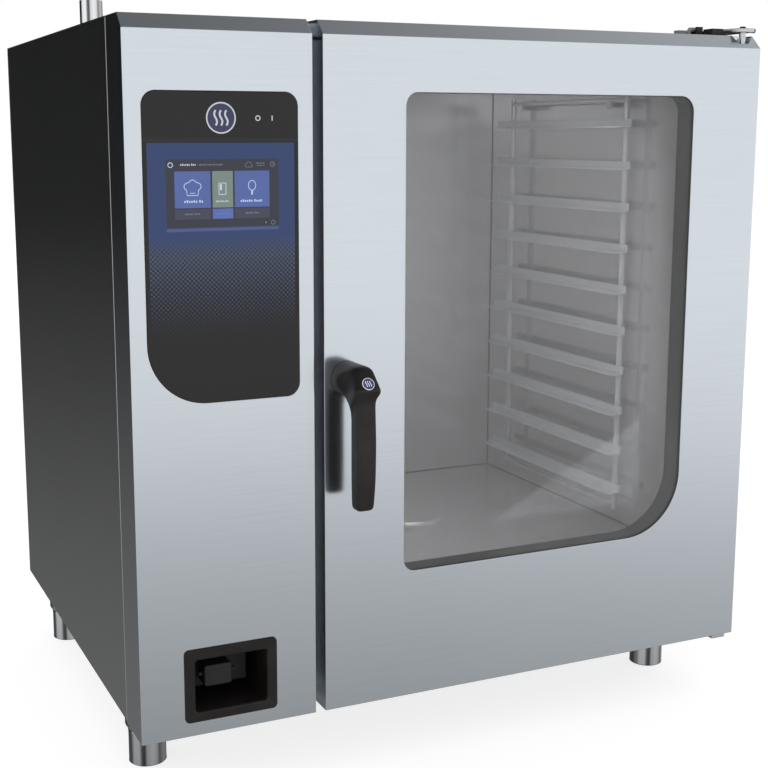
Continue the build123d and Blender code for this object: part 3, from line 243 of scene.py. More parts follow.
def clear_glass(name, veil, tint):
    """Flat pane: see-through, with mirror reflections at a slant and a thin film of haze."""
    s = Shader(name)
    streak = s.noise(6.0, 4.0, (1, 1, 0.35))
    through = s.add("ShaderNodeBsdfTransparent")
    through.inputs[0].default_value = (*tint, 1.0)
    s.set(Base_Color=linear(150, 150, 150), Roughness=s.remap(streak, 0.35, 0.7, 0.02, 0.09),
          Specular_IOR_Level=0.5)
    fresnel = s.add("ShaderNodeFresnel")
    fresnel.inputs["IOR"].default_value = 1.45
    haze = s.remap(streak, 0.35, 0.7, veil * 0.75, veil * 1.25)
    shown = s.math("ADD", s.math("MULTIPLY", fresnel.outputs[0], 0.8), haze, clamp=True)
    blend = s.add("ShaderNodeMixShader")
    s.feed(blend.inputs[0], shown)
    s.links.new(through.outputs[0], blend.inputs[1])
    s.links.new(s.bsdf.outputs[0], blend.inputs[2])
    s.links.new(blend.outputs[0], s.output.inputs["Surface"])
    return s.material


SCREEN_BLACK = (0.004, 0.004, 0.004)
DOT_PITCH = 6.0                 # of the staggered lattice on the control glass, in mm
FIELD = (28.0, 226.8, 800.0)    # blue field: left, right and top
BLUE = linear(36, 56, 101)
NAVY = linear(8, 18, 48)
DOT_GREY = linear(80, 94, 120)
DOTS_FROM, DOTS_TO = 545.0, 672.0       # heights between which the dots grow until they touch
DOT_RADII = (0.13, 0.52)                # smallest and largest, as shares of the pitch
DOT_EDGE = 0.06                         # softness of a dot's rim, as a share of the pitch
FADE_FROM, FADE_TO = 548.0, 680.0       # heights between which the ground turns from black to blue
PAD_LINE_Z = 803.5                      # faint line above the blue field
PAD_LINE_HALF = 2.0
PAD_LINE_GLOW = 0.006


def control_glass_material():
    """Black touch glass with a printed blue field that breaks up into dots downwards, shown as emitted
    light: a painted glow.
    """
    s = Shader("black_glass")
    x, _, z = s.axes()
    a = s.math("FRACT", s.math("DIVIDE", s.math("ADD", x, z), DOT_PITCH))
    b = s.math("FRACT", s.math("DIVIDE", s.math("SUBTRACT", x, z), DOT_PITCH))
    a = s.math("SUBTRACT", a, 0.5)
    b = s.math("SUBTRACT", b, 0.5)
    reach = s.math("SQRT", s.math("ADD", s.math("MULTIPLY", a, a), s.math("MULTIPLY", b, b)))
    size = s.remap(z, DOTS_FROM, DOTS_TO, *DOT_RADII)
    dot = s.remap(s.math("SUBTRACT", size, reach), -DOT_EDGE, DOT_EDGE, 0.0, 1.0, smooth=True)
    low = s.remap(z, FADE_FROM, FADE_TO, 0.0, 1.0)
    ground = s.ramp(low, [(0.0, BLACK), (0.35, dimmed(NAVY, 0.35)), (0.86, NAVY), (1.0, BLUE)])
    dots = s.ramp(low, [(0.0, BLACK), (0.3, dimmed(DOT_GREY, 0.35)), (0.6, dimmed(DOT_GREY, 0.5)),
                        (0.8, dimmed(DOT_GREY, 0.55)), (1.0, BLUE)])
    printed = s.mix(dot, ground, dots)
    inside = s.math("MULTIPLY", s.math("GREATER_THAN", x, FIELD[0]), s.math("LESS_THAN", x, FIELD[1]))
    inside = s.math("MULTIPLY", inside, s.math("LESS_THAN", z, FIELD[2]))
    off_line = s.math("ABSOLUTE", s.math("SUBTRACT", z, PAD_LINE_Z))
    band = s.math("MULTIPLY", s.math("LESS_THAN", off_line, PAD_LINE_HALF), PAD_LINE_GLOW)
    glow = s.mix(inside, s.mix(band, BLACK, WHITE), printed)
    smear = s.noise(9.0, 4.0, (1, 1, 0.6))
    # the print is emitted light, a painted glow that shines without any lamp
    s.set(Base_Color=SCREEN_BLACK, Roughness=s.remap(smear, 0.35, 0.7, 0.06, 0.2),
          Emission_Color=glow, Emission_Strength=1.0, Specular_IOR_Level=0.38)
    return s.material


def lit(name, colour):
    """Lit part of the display, with its pixel rows just visible."""
    s = Shader(name)
    _, _, z = s.axes()
    rows = s.math("ABSOLUTE", s.math("SINE", s.math("MULTIPLY", z, 9.0)))
    wash = s.noise(40.0, 2.0)
    level = s.math("MULTIPLY", s.remap(rows, 0.0, 1.0, 0.93, 1.04), s.remap(wash, 0.3, 0.7, 0.94, 1.05))
    grey = s.ramp(level, [(0.0, BLACK), (1.0, WHITE)])
    s.set(Base_Color=SCREEN_BLACK, Roughness=0.12, Emission_Strength=1.0,
          Emission_Color=s.mix(1.0, colour, grey, "MULTIPLY"))
    return s.material


def light_bar():
    """Light strip with a row of bright dots under a milky cover."""
    s = Shader("led")
    _, _, z = s.axes()
    dots = s.math("ABSOLUTE", s.math("SINE", s.math("MULTIPLY", z, pi / 12)))
    s.set(Base_Color=(0.8, 0.8, 0.78), Roughness=0.4, Emission_Color=(1.0, 0.96, 0.9),
          Emission_Strength=s.remap(dots, 0.6, 1.0, LED_POWER * 0.6, LED_POWER * 1.4))
    return s.material


def mineral_wool():
    """Pressed mineral wool with long fibres."""
    s = Shader("wool")
    fibre = s.noise(60.0, 8.0, (1, 6, 1), 0.75)
    clump = s.noise(9.0, 4.0)
    s.set(Base_Color=s.mix(clump, linear(176, 158, 112), linear(206, 192, 150)), Roughness=0.95)
    s.bump(fibre, 0.002, 0.8)
    return s.material


def circuit():
    """Green board lacquer over copper tracks."""
    s = Shader("circuit")
    tracks = s.remap(s.cells(260.0, "DISTANCE_TO_EDGE"), 0.02, 0.06, 1.0, 0.0)
    s.set(Base_Color=s.mix(tracks, linear(18, 74, 42), linear(44, 118, 66)), Roughness=0.3)
    s.bump(tracks, 0.00003, 0.5)
    return s.material


def ribbed_hose():
    """Dark hose with fine rings, its colour darker in the grooves between them as painted shade."""
    s = Shader("hose")
    _, y, _ = s.axes()
    rings = s.math("SINE", s.math("MULTIPLY", y, 1.6))
    ring_shading = s.remap(rings, -1.0, 1.0, 0.0, 1.0)
    # painted shade: darker in the grooves, lighter on the crests of the rings
    s.set(Base_Color=s.mix(ring_shading, (0.012, 0.012, 0.013), (0.03, 0.03, 0.032)),
          Roughness=s.remap(s.noise(90.0), 0.3, 0.7, 0.35, 0.5))
    s.bump(rings, 0.0004, 0.6)
    return s.material


LED_POWER = 1.6
STEEL = (0.60, 0.645, 0.69)
MATERIALS = {
    "steel_front": brushed_steel("steel_front", STEEL, 0.16, "x", 0.3),
    "steel_side": brushed_steel("steel_side", (0.56, 0.575, 0.58), 0.18, "y", 0.5, 0.04, 0.01),
    "steel_inner": brushed_steel("steel_inner", (0.60, 0.59, 0.588), 0.20, "z", 0.3, 0.03, 0.03, 0.74),
    "rack_steel": brushed_steel("rack_steel", (0.50, 0.505, 0.515), 0.24, "y", 0.2, 0.03, 0.02, 0.5),
    "steel_plain": polished("steel_plain", (0.56, 0.56, 0.56), 0.24),
    # feet and chrome carry painted reflection bands in their colour
    "steel_foot": polished("steel_foot", (0.66, 0.68, 0.70), 0.12, True),
    "chrome": polished("chrome", (0.80, 0.81, 0.83), 0.10, True),
    "zinc": galvanised("zinc"),
    "black_glass": control_glass_material(),
    "clear_glass": clear_glass("clear_glass", 0.13, (0.89, 0.90, 0.915)),
    "rear_pane": clear_glass("rear_pane", 0.012, (0.93, 0.93, 0.93)),
    "black_plastic": moulded("black_plastic", linear(24, 21, 20), 0.40, shine=0.32),
    "dark_surround": moulded("dark_surround", linear(46, 46, 46), 0.5),
    "grey_plastic": moulded("grey_plastic", linear(120, 122, 124), 0.45),
    "circuit": circuit(),
    "silicone": moulded("silicone", linear(38, 38, 40), 0.55, 0.00004, 900.0),
    "hose": ribbed_hose(),
    "wool": mineral_wool(),
    "led": light_bar(),
    "motor": moulded("motor", linear(66, 74, 84), 0.5, 0.00012, 500.0),
    "brass": polished("brass", (0.72, 0.53, 0.27), 0.22),
}
BADGE_BLUE = moulded("badge_blue", linear(52, 56, 104), 0.3, 0.00002)
BADGE_WHITE = moulded("badge_white", linear(222, 224, 230), 0.35, 0.00002)
# white print that glows by emission: a painted glow, not a lamp
PRINT_WHITE = lit("print_white", linear(196, 200, 206))


# ---- CAD nodes: material and softened edges --------------------------------------------------
EDGE_ANGLE = 28.0               # degrees; sharper bends than this get a rounded edge
EDGE_SEGMENTS = 2
FLAT_ANGLE = 0.4                # degrees; faces closer than this in direction are joined


def soften(node, width):
    """Small rounded edges on a CAD node, by modifiers only."""
    weld = node.modifiers.new("weld", "WELD")
    weld.merge_threshold = 0.01 * MM
    flat = node.modifiers.new("flat", "DECIMATE")
    flat.decimate_type = "DISSOLVE"
    flat.angle_limit = radians(FLAT_ANGLE)
    bevel = node.modifiers.new("edge", "BEVEL")
    bevel.width = width
    bevel.segments = EDGE_SEGMENTS
    bevel.limit_method = "ANGLE"
    bevel.angle_limit = radians(EDGE_ANGLE)
    bevel.use_clamp_overlap = False
    normals = node.modifiers.new("normals", "WEIGHTED_NORMAL")
    normals.keep_sharp = True


EDGES = {
    "control_housing": 0.0006, "door_skin": 0.0006, "left_side_panel": 0.0005, "right_side_panel": 0.0005,
    "top_panel": 0.0005, "rear_panel": 0.0003, "front_frame": 0.0004, "door_liner": 0.0004,
    "window_surround": 0.0006, "rack_left": 0.0007, "rack_right": 0.0007, "top_hinge_plate": 0.0008,
    "door_switch": 0.0008, "foot_sleeves": 0.0012, "foot_front_left": 0.001, "foot_front_right": 0.001,
    "foot_rear_left": 0.001, "foot_rear_right": 0.001, "vent_pipe": 0.0006, "glass_clips": 0.001,
    "bottom_hinge_bracket": 0.0008, "cavity_liner": 0.0006, "air_baffle": 0.0004,
    "door_inner_glass": 0.0006, "door_outer_glass": 0.0006, "base_frame": 0.001, "latch_tongue": 0.0006,
    "drain_strainer": 0.0006, "switch_cable": 0.0005, "handle_rosette": 0.0005,
}

OWN_MATERIAL = {"rack_left": "rack_steel", "rack_right": "rack_steel", "door_inner_glass": "rear_pane"}

for name, node in NODES.items():
    material = MATERIALS[OWN_MATERIAL.get(name, SLOTS[name])]
    if not node.data.materials:
        node.data.materials.append(material)
    for slot in node.material_slots:
        slot.material = material
    if name in EDGES:
        soften(node, EDGES[name])


# ---- mesh building ---------------------------------------------------------------------------
def piece(name, build, materials, body, smooth=True):
    """New object from a bmesh builder, riding on a body."""
    mesh = bpy.data.meshes.new(name)
    bm = bmesh.new()
    build(bm)
    bmesh.ops.recalc_face_normals(bm, faces=bm.faces)
    bm.to_mesh(mesh)
    bm.free()
    for material in materials:
        mesh.materials.append(material)
    obj = bpy.data.objects.new(name, mesh)
    bpy.context.scene.collection.objects.link(obj)
    for polygon in mesh.polygons:
        polygon.use_smooth = smooth
    if smooth:
        normals = obj.modifiers.new("normals", "WEIGHTED_NORMAL")
        normals.keep_sharp = True
    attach(obj, body)
    return obj


def loft(bm, rings, slot=0):
    """Closed skin over rings of equal point counts."""
    rows = [[bm.verts.new(point) for point in ring] for ring in rings]
    count = len(rows[0])
    faces = []
    for near, far in zip(rows, rows[1:]):
        for k in range(count):
            j = (k + 1) % count
            faces.append(bm.faces.new((near[k], near[j], far[j], far[k])))
    faces.append(bm.faces.new(rows[0][::-1]))
    faces.append(bm.faces.new(rows[-1]))
    for face in faces:
        face.material_index = slot


def prism(bm, outline, y0, y1, slot=0):
    """Closed plate between two depths from an outline of (x, z) points seen from the front."""
    loft(bm, [[at(x, y, z) for x, z in outline] for y in (y0, y1)], slot=slot)


def ring_plate(bm, outer, inner, y0, y1, slot=0):
    """Closed frame between two outlines of equal point counts."""
    loops = [[bm.verts.new(at(x, y, z)) for x, z in outline]
             for outline, y in ((outer, y0), (inner, y0), (inner, y1), (outer, y1))]
    count = len(outer)
    for a in range(4):
        near, far = loops[a], loops[(a + 1) % 4]
        for k in range(count):
            j = (k + 1) % count
            bm.faces.new((near[k], near[j], far[j], far[k])).material_index = slot


def stroke(bm, points, width, y0, y1, closed=False, slot=0):
    """Line of constant width along points."""
    n = len(points)
    left, right = [], []
    for k, (x, z) in enumerate(points):
        before = points[k - 1] if k or closed else points[k]
        after = points[(k + 1) % n] if k < n - 1 or closed else points[k]
        angle = atan2(after[1] - before[1], after[0] - before[0])
        dx, dz = -sin(angle) * width / 2, cos(angle) * width / 2
        left.append((x + dx, z + dz))
        right.append((x - dx, z - dz))
    if closed:
        ring_plate(bm, left, right, y0, y1, slot)
    else:
        loops = list(zip(left, right))
        for (l0, r0), (l1, r1) in zip(loops, loops[1:]):
            prism(bm, [r0, r1, l1, l0], y0, y1, slot)


def arc(cx, cz, radius, start, end, steps=16):
    """Points on an arc, with angles in degrees."""
    return [(cx + radius * cos(radians(start + (end - start) * k / steps)),
             cz + radius * sin(radians(start + (end - start) * k / steps))) for k in range(steps + 1)]


def circle(cx, cz, radius, count=40):
    return [(cx + radius * cos(tau * k / count), cz + radius * sin(tau * k / count)) for k in range(count)]


def rounded(x0, x1, z0, z1, radius, steps=6):
    """Rectangle outline with rounded corners."""
    points = []
    for cx, cz, start in ((x1 - radius, z1 - radius, 0), (x0 + radius, z1 - radius, 90),
                          (x0 + radius, z0 + radius, 180), (x1 - radius, z0 + radius, 270)):
        points += arc(cx, cz, radius, start, start + 90, steps)
    return points


# ---- control glass: display and signs ----------------------------------------------------------
GLASS_FRONT = -0.6
PRINT_BACK = GLASS_FRONT + 0.02                             # prints reach this far into the glass
GROUND_FACE = GLASS_FRONT - 0.06
TILE_FACE = GLASS_FRONT - 0.12
MARK_FACE = GLASS_FRONT - 0.2
DISPLAY = (52.0, 204.4, 692.5, 779.6)                       # left, right, bottom and top
LOWER_STRIP = (52.0, 204.0, 687.6, 691.6)
TILE_COLUMNS = [(63.3, 111.0), (113.6, 141.4), (143.7, 191.6)]
TILE_ROWS = [((717.6, 764.2), (0, 1, 0)), ((703.2, 716.2), (2, 3, 2))]     # heights and colour slots
LETTER_HEIGHTS = (0.72, 1.0, 0.72, 0.72, 0.9)               # shares of the height of a line of print
LETTER_STEP, LETTER_WIDTH, WORD_STEP = 0.9, 0.62, 1.5
WORD_LETTERS = 6


def text_bar(bm, x0, x1, z, height, y0, y1):
    """Row of short strokes that stands for a line of small print."""
    step = height * LETTER_STEP
    x = x0
    k = 0
    low = z - height / 2
    while x + step * 0.6 < x1:
        high = low + height * LETTER_HEIGHTS[k % len(LETTER_HEIGHTS)]
        right = x + step * LETTER_WIDTH
        prism(bm, [(x, low), (right, low), (right, high), (x, high)], y0, y1)
        last_of_word = k % WORD_LETTERS == WORD_LETTERS - 1
        x += step * (WORD_STEP if last_of_word else 1.0)
        k += 1


def display_ground(bm):
    prism(bm, rounded(*DISPLAY, 1.0), GROUND_FACE, PRINT_BACK, 0)
    prism(bm, rounded(*LOWER_STRIP, 0.6), GLASS_FRONT - 0.05, PRINT_BACK, 1)


def display_tiles(bm):
    y0, y1 = TILE_FACE, GLASS_FRONT - 0.05
    for (z0, z1), slots in TILE_ROWS:
        for (x0, x1), slot in zip(TILE_COLUMNS, slots):
            prism(bm, rounded(x0, x1, z0, z1, 0.5, 3), y0, y1, slot)


def hat_outline():
    """Chef's hat: a band below three puffs."""
    points = [(79.8, 733.6), (94.2, 733.6), (95.2, 740.6)]
    points += arc(94.0, 745.0, 4.4, -60, 80, 8)
    points += arc(87.2, 748.4, 4.9, 25, 155, 8)
    points += arc(80.2, 745.0, 4.4, 100, 240, 8)
    points += [(79.0, 740.6)]
    return points


def display_marks(bm):
    y0, y1 = MARK_FACE, GLASS_FRONT - 0.11
    stroke(bm, hat_outline(), 0.95, y0, y1, True)
    stroke(bm, [(83.5, 736.5), (90.5, 736.5)], 0.7, y0, y1)
    door = (rounded(121.9, 132.3, 733.8, 749.3, 1.0), rounded(122.8, 131.4, 734.7, 748.4, 0.5))
    ring_plate(bm, *door, y0, y1)
    prism(bm, [(123.8, 739.8), (126.4, 739.8), (126.4, 747.4), (123.8, 747.4)], y0, y1)
    ellipse = [(167.6 + 5.0 * cos(tau * k / 24), 745.4 + 6.3 * sin(tau * k / 24)) for k in range(24)]
    stroke(bm, ellipse, 0.95, y0, y1, True)
    stroke(bm, [(167.6, 739.0), (167.4, 733.4)], 2.2, y0, y1)
    text_bar(bm, 75.8, 100.6, 726.1, 3.4, y0, y1)
    text_bar(bm, 118.0, 136.4, 725.8, 2.3, y0, y1)
    text_bar(bm, 151.6, 182.8, 725.8, 3.2, y0, y1)
    ring_plate(bm, circle(58.3, 772.2, 3.5), circle(58.3, 772.2, 2.5), y0, y1)
    text_bar(bm, 71.3, 92.8, 772.6, 2.5, y0, y1)


def display_faint_marks(bm):
    y0, y1 = MARK_FACE, GLASS_FRONT - 0.05
    text_bar(bm, 96.0, 129.4, 772.5, 2.0, y0, y1)
    cloud = arc(160.4, 770.9, 1.9, 120, 270, 6)
    cloud += arc(166.4, 770.9, 1.9, 270, 420, 6)
    cloud += arc(163.4, 773.0, 2.7, 40, 150, 8)
    stroke(bm, cloud, 0.6, y0, y1, True)
    text_bar(bm, 173.4, 186.0, 774.0, 1.6, y0, y1)
    text_bar(bm, 174.6, 186.0, 771.0, 1.4, y0, y1)
    ring_plate(bm, circle(196.4, 772.3, 3.4), circle(196.4, 772.3, 2.7), y0, y1)
    stroke(bm, [(196.4, 774.2), (196.4, 772.3), (197.8, 771.4)], 0.6, y0, y1)
    text_bar(bm, 76.3, 98.0, 710.0, 2.2, y0, y1)
    text_bar(bm, 118.2, 137.8, 709.8, 2.2, y0, y1)
    text_bar(bm, 158.4, 178.0, 710.0, 2.2, y0, y1)
    prism(bm, [(184.8, 697.8), (187.4, 697.8), (187.4, 695.6), (186.0, 695.6)], y0, y1)
    ring_plate(bm, circle(196.4, 696.8, 3.0), circle(196.4, 696.8, 2.3), y0, y1)


# the badge's sizes as shares of its radius
BADGE_FIELD, BADGE_RIM = 0.95, 0.91
WAVE_GAP, WAVE_SWAY, WAVE_HALF, WAVE_WIDTH = 0.36, 0.09, 0.48, 0.12
WAVE_STEPS = 12
BADGE_POINTS = 48
BADGE_RELIEF = 0.08             # mm that rim and waves stand proud of the field


def steam_badge(bm, cx, cz, radius, y0, y1):
    """Round badge with a rim and three rising waves."""
    outer = circle(cx, cz, radius, BADGE_POINTS)
    inner = circle(cx, cz, radius * BADGE_RIM, BADGE_POINTS)
    prism(bm, circle(cx, cz, radius * BADGE_FIELD, BADGE_POINTS), y0, y1, 0)
    ring_plate(bm, outer, inner, y0 - BADGE_RELIEF, y1, 1)
    for k in (-1, 0, 1):
        wave = []
        for t in range(WAVE_STEPS + 1):
            sway = WAVE_GAP * k + WAVE_SWAY * sin(tau * t / WAVE_STEPS)
            rise = 2 * WAVE_HALF * t / WAVE_STEPS - WAVE_HALF
            wave.append((cx + radius * sway, cz + radius * rise))
        stroke(bm, wave, radius * WAVE_WIDTH, y0 - BADGE_RELIEF, y1, slot=1)


def panel_badge(bm):
    steam_badge(bm, 126.8, 831.4, 20.0, TILE_FACE, PRINT_BACK)


def power_signs(bm):
    y0, y1 = GLASS_FRONT - 0.08, PRINT_BACK
    ring_plate(bm, circle(176.8, 831.3, 3.6), circle(176.8, 831.3, 2.3), y0, y1)
    prism(bm, rounded(195.8, 197.2, 828.0, 834.8, 0.5, 3), y0, y1)


piece("display_ground", display_ground,
      [lit("display_dark", linear(30, 34, 50)), lit("display_strip", linear(62, 78, 128))],
      "housing", smooth=False)
piece("display_tiles", display_tiles,
      [lit("tile_blue", linear(72, 94, 158)), lit("tile_green", linear(112, 130, 122)),
       lit("tab_dark", linear(52, 54, 76)), lit("tab_blue", linear(76, 100, 172))],
      "housing", smooth=False)
piece("display_marks", display_marks, [lit("mark_light", linear(190, 204, 232))], "housing",
      smooth=False)
piece("display_faint_marks", display_faint_marks, [lit("mark_faint", linear(112, 118, 136))], "housing",
      smooth=False)
# the badge field and its white print glow by emission as painted light
piece("panel_badge", panel_badge, [lit("badge_field", linear(38, 42, 78)), PRINT_WHITE], "housing",
      smooth=False)
piece("power_signs", power_signs, [PRINT_WHITE], "housing", smooth=False)


# ---- handle -----------------------------------------------------------------------------------
HANDLE_X = 303.0
# outer (y, z), inner (y, z), half width at the outer and at the inner side, squareness
HANDLE_STATIONS = [
    (-3.0, 504.0, -3.0, 456.0, 24.0, 24.0, 2.0), (-14.0, 504.0, -9.0, 456.0, 24.0, 24.0, 2.0),
    (-27.0, 504.0, -14.0, 456.0, 23.4, 23.2, 2.1), (-39.0, 504.0, -18.0, 455.6, 21.5, 21.6, 2.4),
    (-49.5, 503.0, -22.0, 454.8, 19.5, 19.4, 2.9), (-56.0, 499.0, -25.5, 453.5, 18.2, 17.6, 3.6),
    (-63.0, 490.0, -28.6, 451.6, 18.4, 16.2, 4.6), (-70.0, 480.6, -31.4, 449.4, 19.6, 15.2, 5.2),
    (-73.0, 476.0, -33.6, 447.0, 19.9, 14.6, 5.6), (-73.0, 471.5, -35.4, 444.0, 18.8, 14.2, 5.8),
    (-69.5, 465.5, -37.0, 440.4, 15.6, 13.9, 6.0), (-67.2, 459.0, -38.6, 435.6, 14.0, 13.7, 6.2),
    (-66.4, 450.0, -39.7, 429.0, 13.7, 13.5, 6.5), (-66.8, 430.0, -40.0, 416.0, 13.9, 13.5, 7.0),
    (-67.6, 395.0, -40.0, 390.0, 14.2, 13.5, 7.0), (-66.6, 350.0, -40.0, 350.0, 13.8, 13.4, 7.0),
    (-64.2, 322.0, -40.0, 322.0, 12.9, 12.8, 7.0), (-63.0, 311.5, -40.2, 311.5, 12.2, 12.4, 6.5),
    (-61.4, 307.6, -41.4, 307.6, 10.8, 11.2, 5.5), (-59.0, 306.0, -43.6, 306.0, 8.8, 9.2, 5.0),
]
RING_POINTS = 40
SPLITS = (0.0, 0.34, 0.67)                  # places of the sections between two stations
NECK_Z = 480.0
SKIRT = ((22.3, -2.7), (22.3, -0.35), (23.4, -0.3), (24.0, -0.9))      # radius and depth at the door
BADGE_PLACE = (HANDLE_X, -68.6, 483.2)
BADGE_TILT = -32.0
BADGE_RADIUS = 8.6


def between(a, b, c, d, t):
    """Point between b and c on a smooth curve through a, b, c and d."""
    square = 2 * a - 5 * b + 4 * c - d
    cube = 3 * b - a - 3 * c + d
    return 0.5 * (2 * b + (c - a) * t + square * t * t + cube * t ** 3)


def signed_power(value, power):
    return (abs(value) ** power) * (1 if value >= 0 else -1)


def handle_ring(outer_y, outer_z, inner_y, inner_z, outer_width, inner_width, square):
    """Section of the handle between its outer and its inner line."""
    cy, cz = (outer_y + inner_y) / 2, (outer_z + inner_z) / 2
    hy, hz = (outer_y - inner_y) / 2, (outer_z - inner_z) / 2
    points = []
    for k in range(RING_POINTS):
        angle = tau * k / RING_POINTS
        out = signed_power(sin(angle), 2 / square)
        width = inner_width + (outer_width - inner_width) * (out + 1) / 2
        across = signed_power(cos(angle), 2 / square) * width
        points.append(at(HANDLE_X + across, cy + out * hy, cz + out * hz))
    return points


def handle_mesh(bm):
    """Lever from the round neck at the door through the head to the foot of the grip."""
    rings = []
    for radius, y in SKIRT:
        rings.append(handle_ring(y, NECK_Z + radius, y, NECK_Z - radius, radius, radius, 2.0))
    stations = [HANDLE_STATIONS[0]] + HANDLE_STATIONS + [HANDLE_STATIONS[-1]]
    for a, b, c, d in zip(stations, stations[1:], stations[2:], stations[3:]):
        for t in SPLITS:
            rings.append(handle_ring(*[between(p, q, r, s, t) for p, q, r, s in zip(a, b, c, d)]))
    rings.append(handle_ring(*HANDLE_STATIONS[-1]))
    loft(bm, rings)


handle = piece("handle_grip", handle_mesh, [MATERIALS["black_plastic"]], "handle")
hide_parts("handle_lever")


def handle_badge(bm):
    """Small round badge on the sloping face of the head."""
    steam_badge(bm, 0.0, 0.0, BADGE_RADIUS, -1.0, 0.4)
    origin = at(0, 0, 0)
    tilt = Euler((radians(BADGE_TILT), 0, 0)).to_matrix()
    for vert in bm.verts:
        vert.co = at(*BADGE_PLACE) + tilt @ (vert.co - origin)


piece("handle_badge", handle_badge, [BADGE_BLUE, BADGE_WHITE], "handle", smooth=False)


# ---- hand shower recess -------------------------------------------------------------------------
TURNED_POINTS = 28


def turned(bm, axis, centre, profile):
    """Round piece about an axis through a point, from (radius, offset along the axis) pairs."""
    rings = []
    for radius, offset in profile:
        ring = []
        for k in range(TURNED_POINTS):
            angle = tau * k / TURNED_POINTS
            u, v = radius * cos(angle), radius * sin(angle)
            shift = {"x": (offset, u, v), "y": (u, offset, v), "z": (u, v, offset)}[axis]
            ring.append(at(*[c + d for c, d in zip(centre, shift)]))
        rings.append(ring)
    loft(bm, rings)


def frame_ring(box, inset, radius, y):
    """Rounded outline of a box of (left, right, bottom, top), drawn in by an inset, at a depth."""
    x0, x1, z0, z1 = box
    outline = rounded(x0 + inset, x1 - inset, z0 + inset, z1 - inset, max(radius - inset, 0.5))
    return [at(x, y, z) for x, z in outline]


BEZEL = (61.2, 194.8, 19.8, 124.2)
MOUTH = (76.4, 179.8, 34.4, 108.0)
SHELF = (77.4, 166.0, 50.0, 107.0)
SHELF_LINE = ((2.0, 45.0), (0.6, 45.4), (0.0, 46.6), (0.0, 84.9))      # inset and depth, front to back
BEZEL_LINE = ((0.0, -0.05), (0.0, -1.3), (0.35, -1.95), (1.0, -2.4), (2.0, -2.5))
MOUTH_LINE = ((-3.6, -2.5), (-2.3, -2.35), (-1.1, -1.8), (-0.3, -0.7), (0.0, 0.8), (0.3, 83.0),
              (0.9, 84.4), (2.2, 85.0))
HOSE_COLLAR = ((12.5, 0), (12.5, -1.6), (11.6, -2.4), (8.2, -2.4), (7.6, -1.6), (7.6, 0))
HOSE_PLACE = (110, 45.2, 71)
SHOWER_BLOCK = (94.4, 134.2, 60.4, 91.4)
SHOWER_LINE = ((3.0, 15.2), (1.2, 15.5), (0.3, 16.4), (0.0, 18.0), (0.0, 40.0), (0.8, 42.6), (2.4, 43.6))
SHOWER_PIN = ((2.6, 0.0), (3.4, 0.8), (3.4, 5.4), (2.4, 6.4))
PIN_PLACES = ((87.6, 24, 78), (134.6, 24, 78))


def recess_mesh(bm):
    """Bezel with rounded rims that runs into a deep tub, and the shelf at its back."""
    rings = [frame_ring(MOUTH, -2.5, 4, 87.4), frame_ring(MOUTH, -2.5, 4, -0.05)]
    rings += [frame_ring(BEZEL, inset, 7, y) for inset, y in BEZEL_LINE]
    rings += [frame_ring(MOUTH, inset, 3.5, y) for inset, y in MOUTH_LINE]
    loft(bm, rings)
    loft(bm, [frame_ring(SHELF, inset, 3, y) for inset, y in SHELF_LINE])
    turned(bm, "y", HOSE_PLACE, HOSE_COLLAR)


def shower_mesh(bm):
    """Hand shower parked face on, with a pin on either side."""
    loft(bm, [frame_ring(SHOWER_BLOCK, inset, 4, y) for inset, y in SHOWER_LINE])
    for place in PIN_PLACES:
        turned(bm, "x", place, SHOWER_PIN)


RECESS_BLACK = moulded("recess_black", linear(24, 20, 19), 0.42, 0.00005, shine=0.25)
recess = piece("recess_tub", recess_mesh, [RECESS_BLACK], "housing")
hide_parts("shower_recess")
SHOWER_BLACK = moulded("shower_black", linear(24, 24, 25), 0.42, shine=0.3)
shower = piece("shower_head", shower_mesh, [SHOWER_BLACK], "shower")
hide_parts("hand_shower")


# ---- painted shade along the corners of the cavity -----------------------------------------------
CAVITY = (335.2, 919.6, 676.6, 140.4, 894.0)     # left, right, rear, bottom, top of the visible space
CORNER_SHADE_FRONT = 104.0
SHADE_STRIP_SIDES = 8


def shade_strip(bm, start, end, width):
    """Slender dark strip along a corner of the cavity: painted shade in the corner."""
    a, b = at(*start), at(*end)
    along = (b - a).normalized()
    u = along.orthogonal().normalized() * width * MM
    v = along.cross(u)
    turns = [tau * k / SHADE_STRIP_SIDES for k in range(SHADE_STRIP_SIDES)]
    loft(bm, [[p + u * cos(turn) + v * sin(turn) for turn in turns] for p in (a, b)])


def cavity_corner_shade(bm):
    left, right, rear, bottom, top = CAVITY
    # painted shade: dark strips in the rear right corner and along the floor corners
    shade_strip(bm, (right, rear, bottom), (right, rear, top), 1.1)
    shade_strip(bm, (left, rear, bottom), (right, rear, bottom), 0.9)
    shade_strip(bm, (right, CORNER_SHADE_FRONT, bottom), (right, rear, bottom), 0.9)


# dark steel that paints shade into the cavity's corners
CORNER_SHADE_STEEL = polished("corner_shade_steel", (0.16, 0.16, 0.16), 0.3)
piece("cavity_corner_shade", cavity_corner_shade, [CORNER_SHADE_STEEL], "housing")


# ---- caps at the upper hinge ---------------------------------------------------------------------
PIN_CAP = ((4.6, 0.0), (4.6, 1.9), (3.9, 2.7), (1.5, 2.9))
END_CAP = ((3.6, 0.0), (3.6, 1.4), (3.0, 2.0), (1.2, 2.1))


def hinge_caps(bm):
    turned(bm, "z", (975.5, 17.5, 971.0), PIN_CAP)
    turned(bm, "x", (996.4, 17.5, 968.0), END_CAP)


CAP_BLACK = moulded("cap_black", linear(30, 30, 31), 0.4)
piece("hinge_caps", hinge_caps, [CAP_BLACK], "housing")


# ---- stage, light and camera --------------------------------------------------------------------
KEY_LIGHT = 8.0                 # watts
CAVITY_LIGHT = 3.3
FLOOR_HALF = 14.0
FLOOR_GREY = (0.34, 0.34, 0.34)
FLOOR_GLOW = 0.77


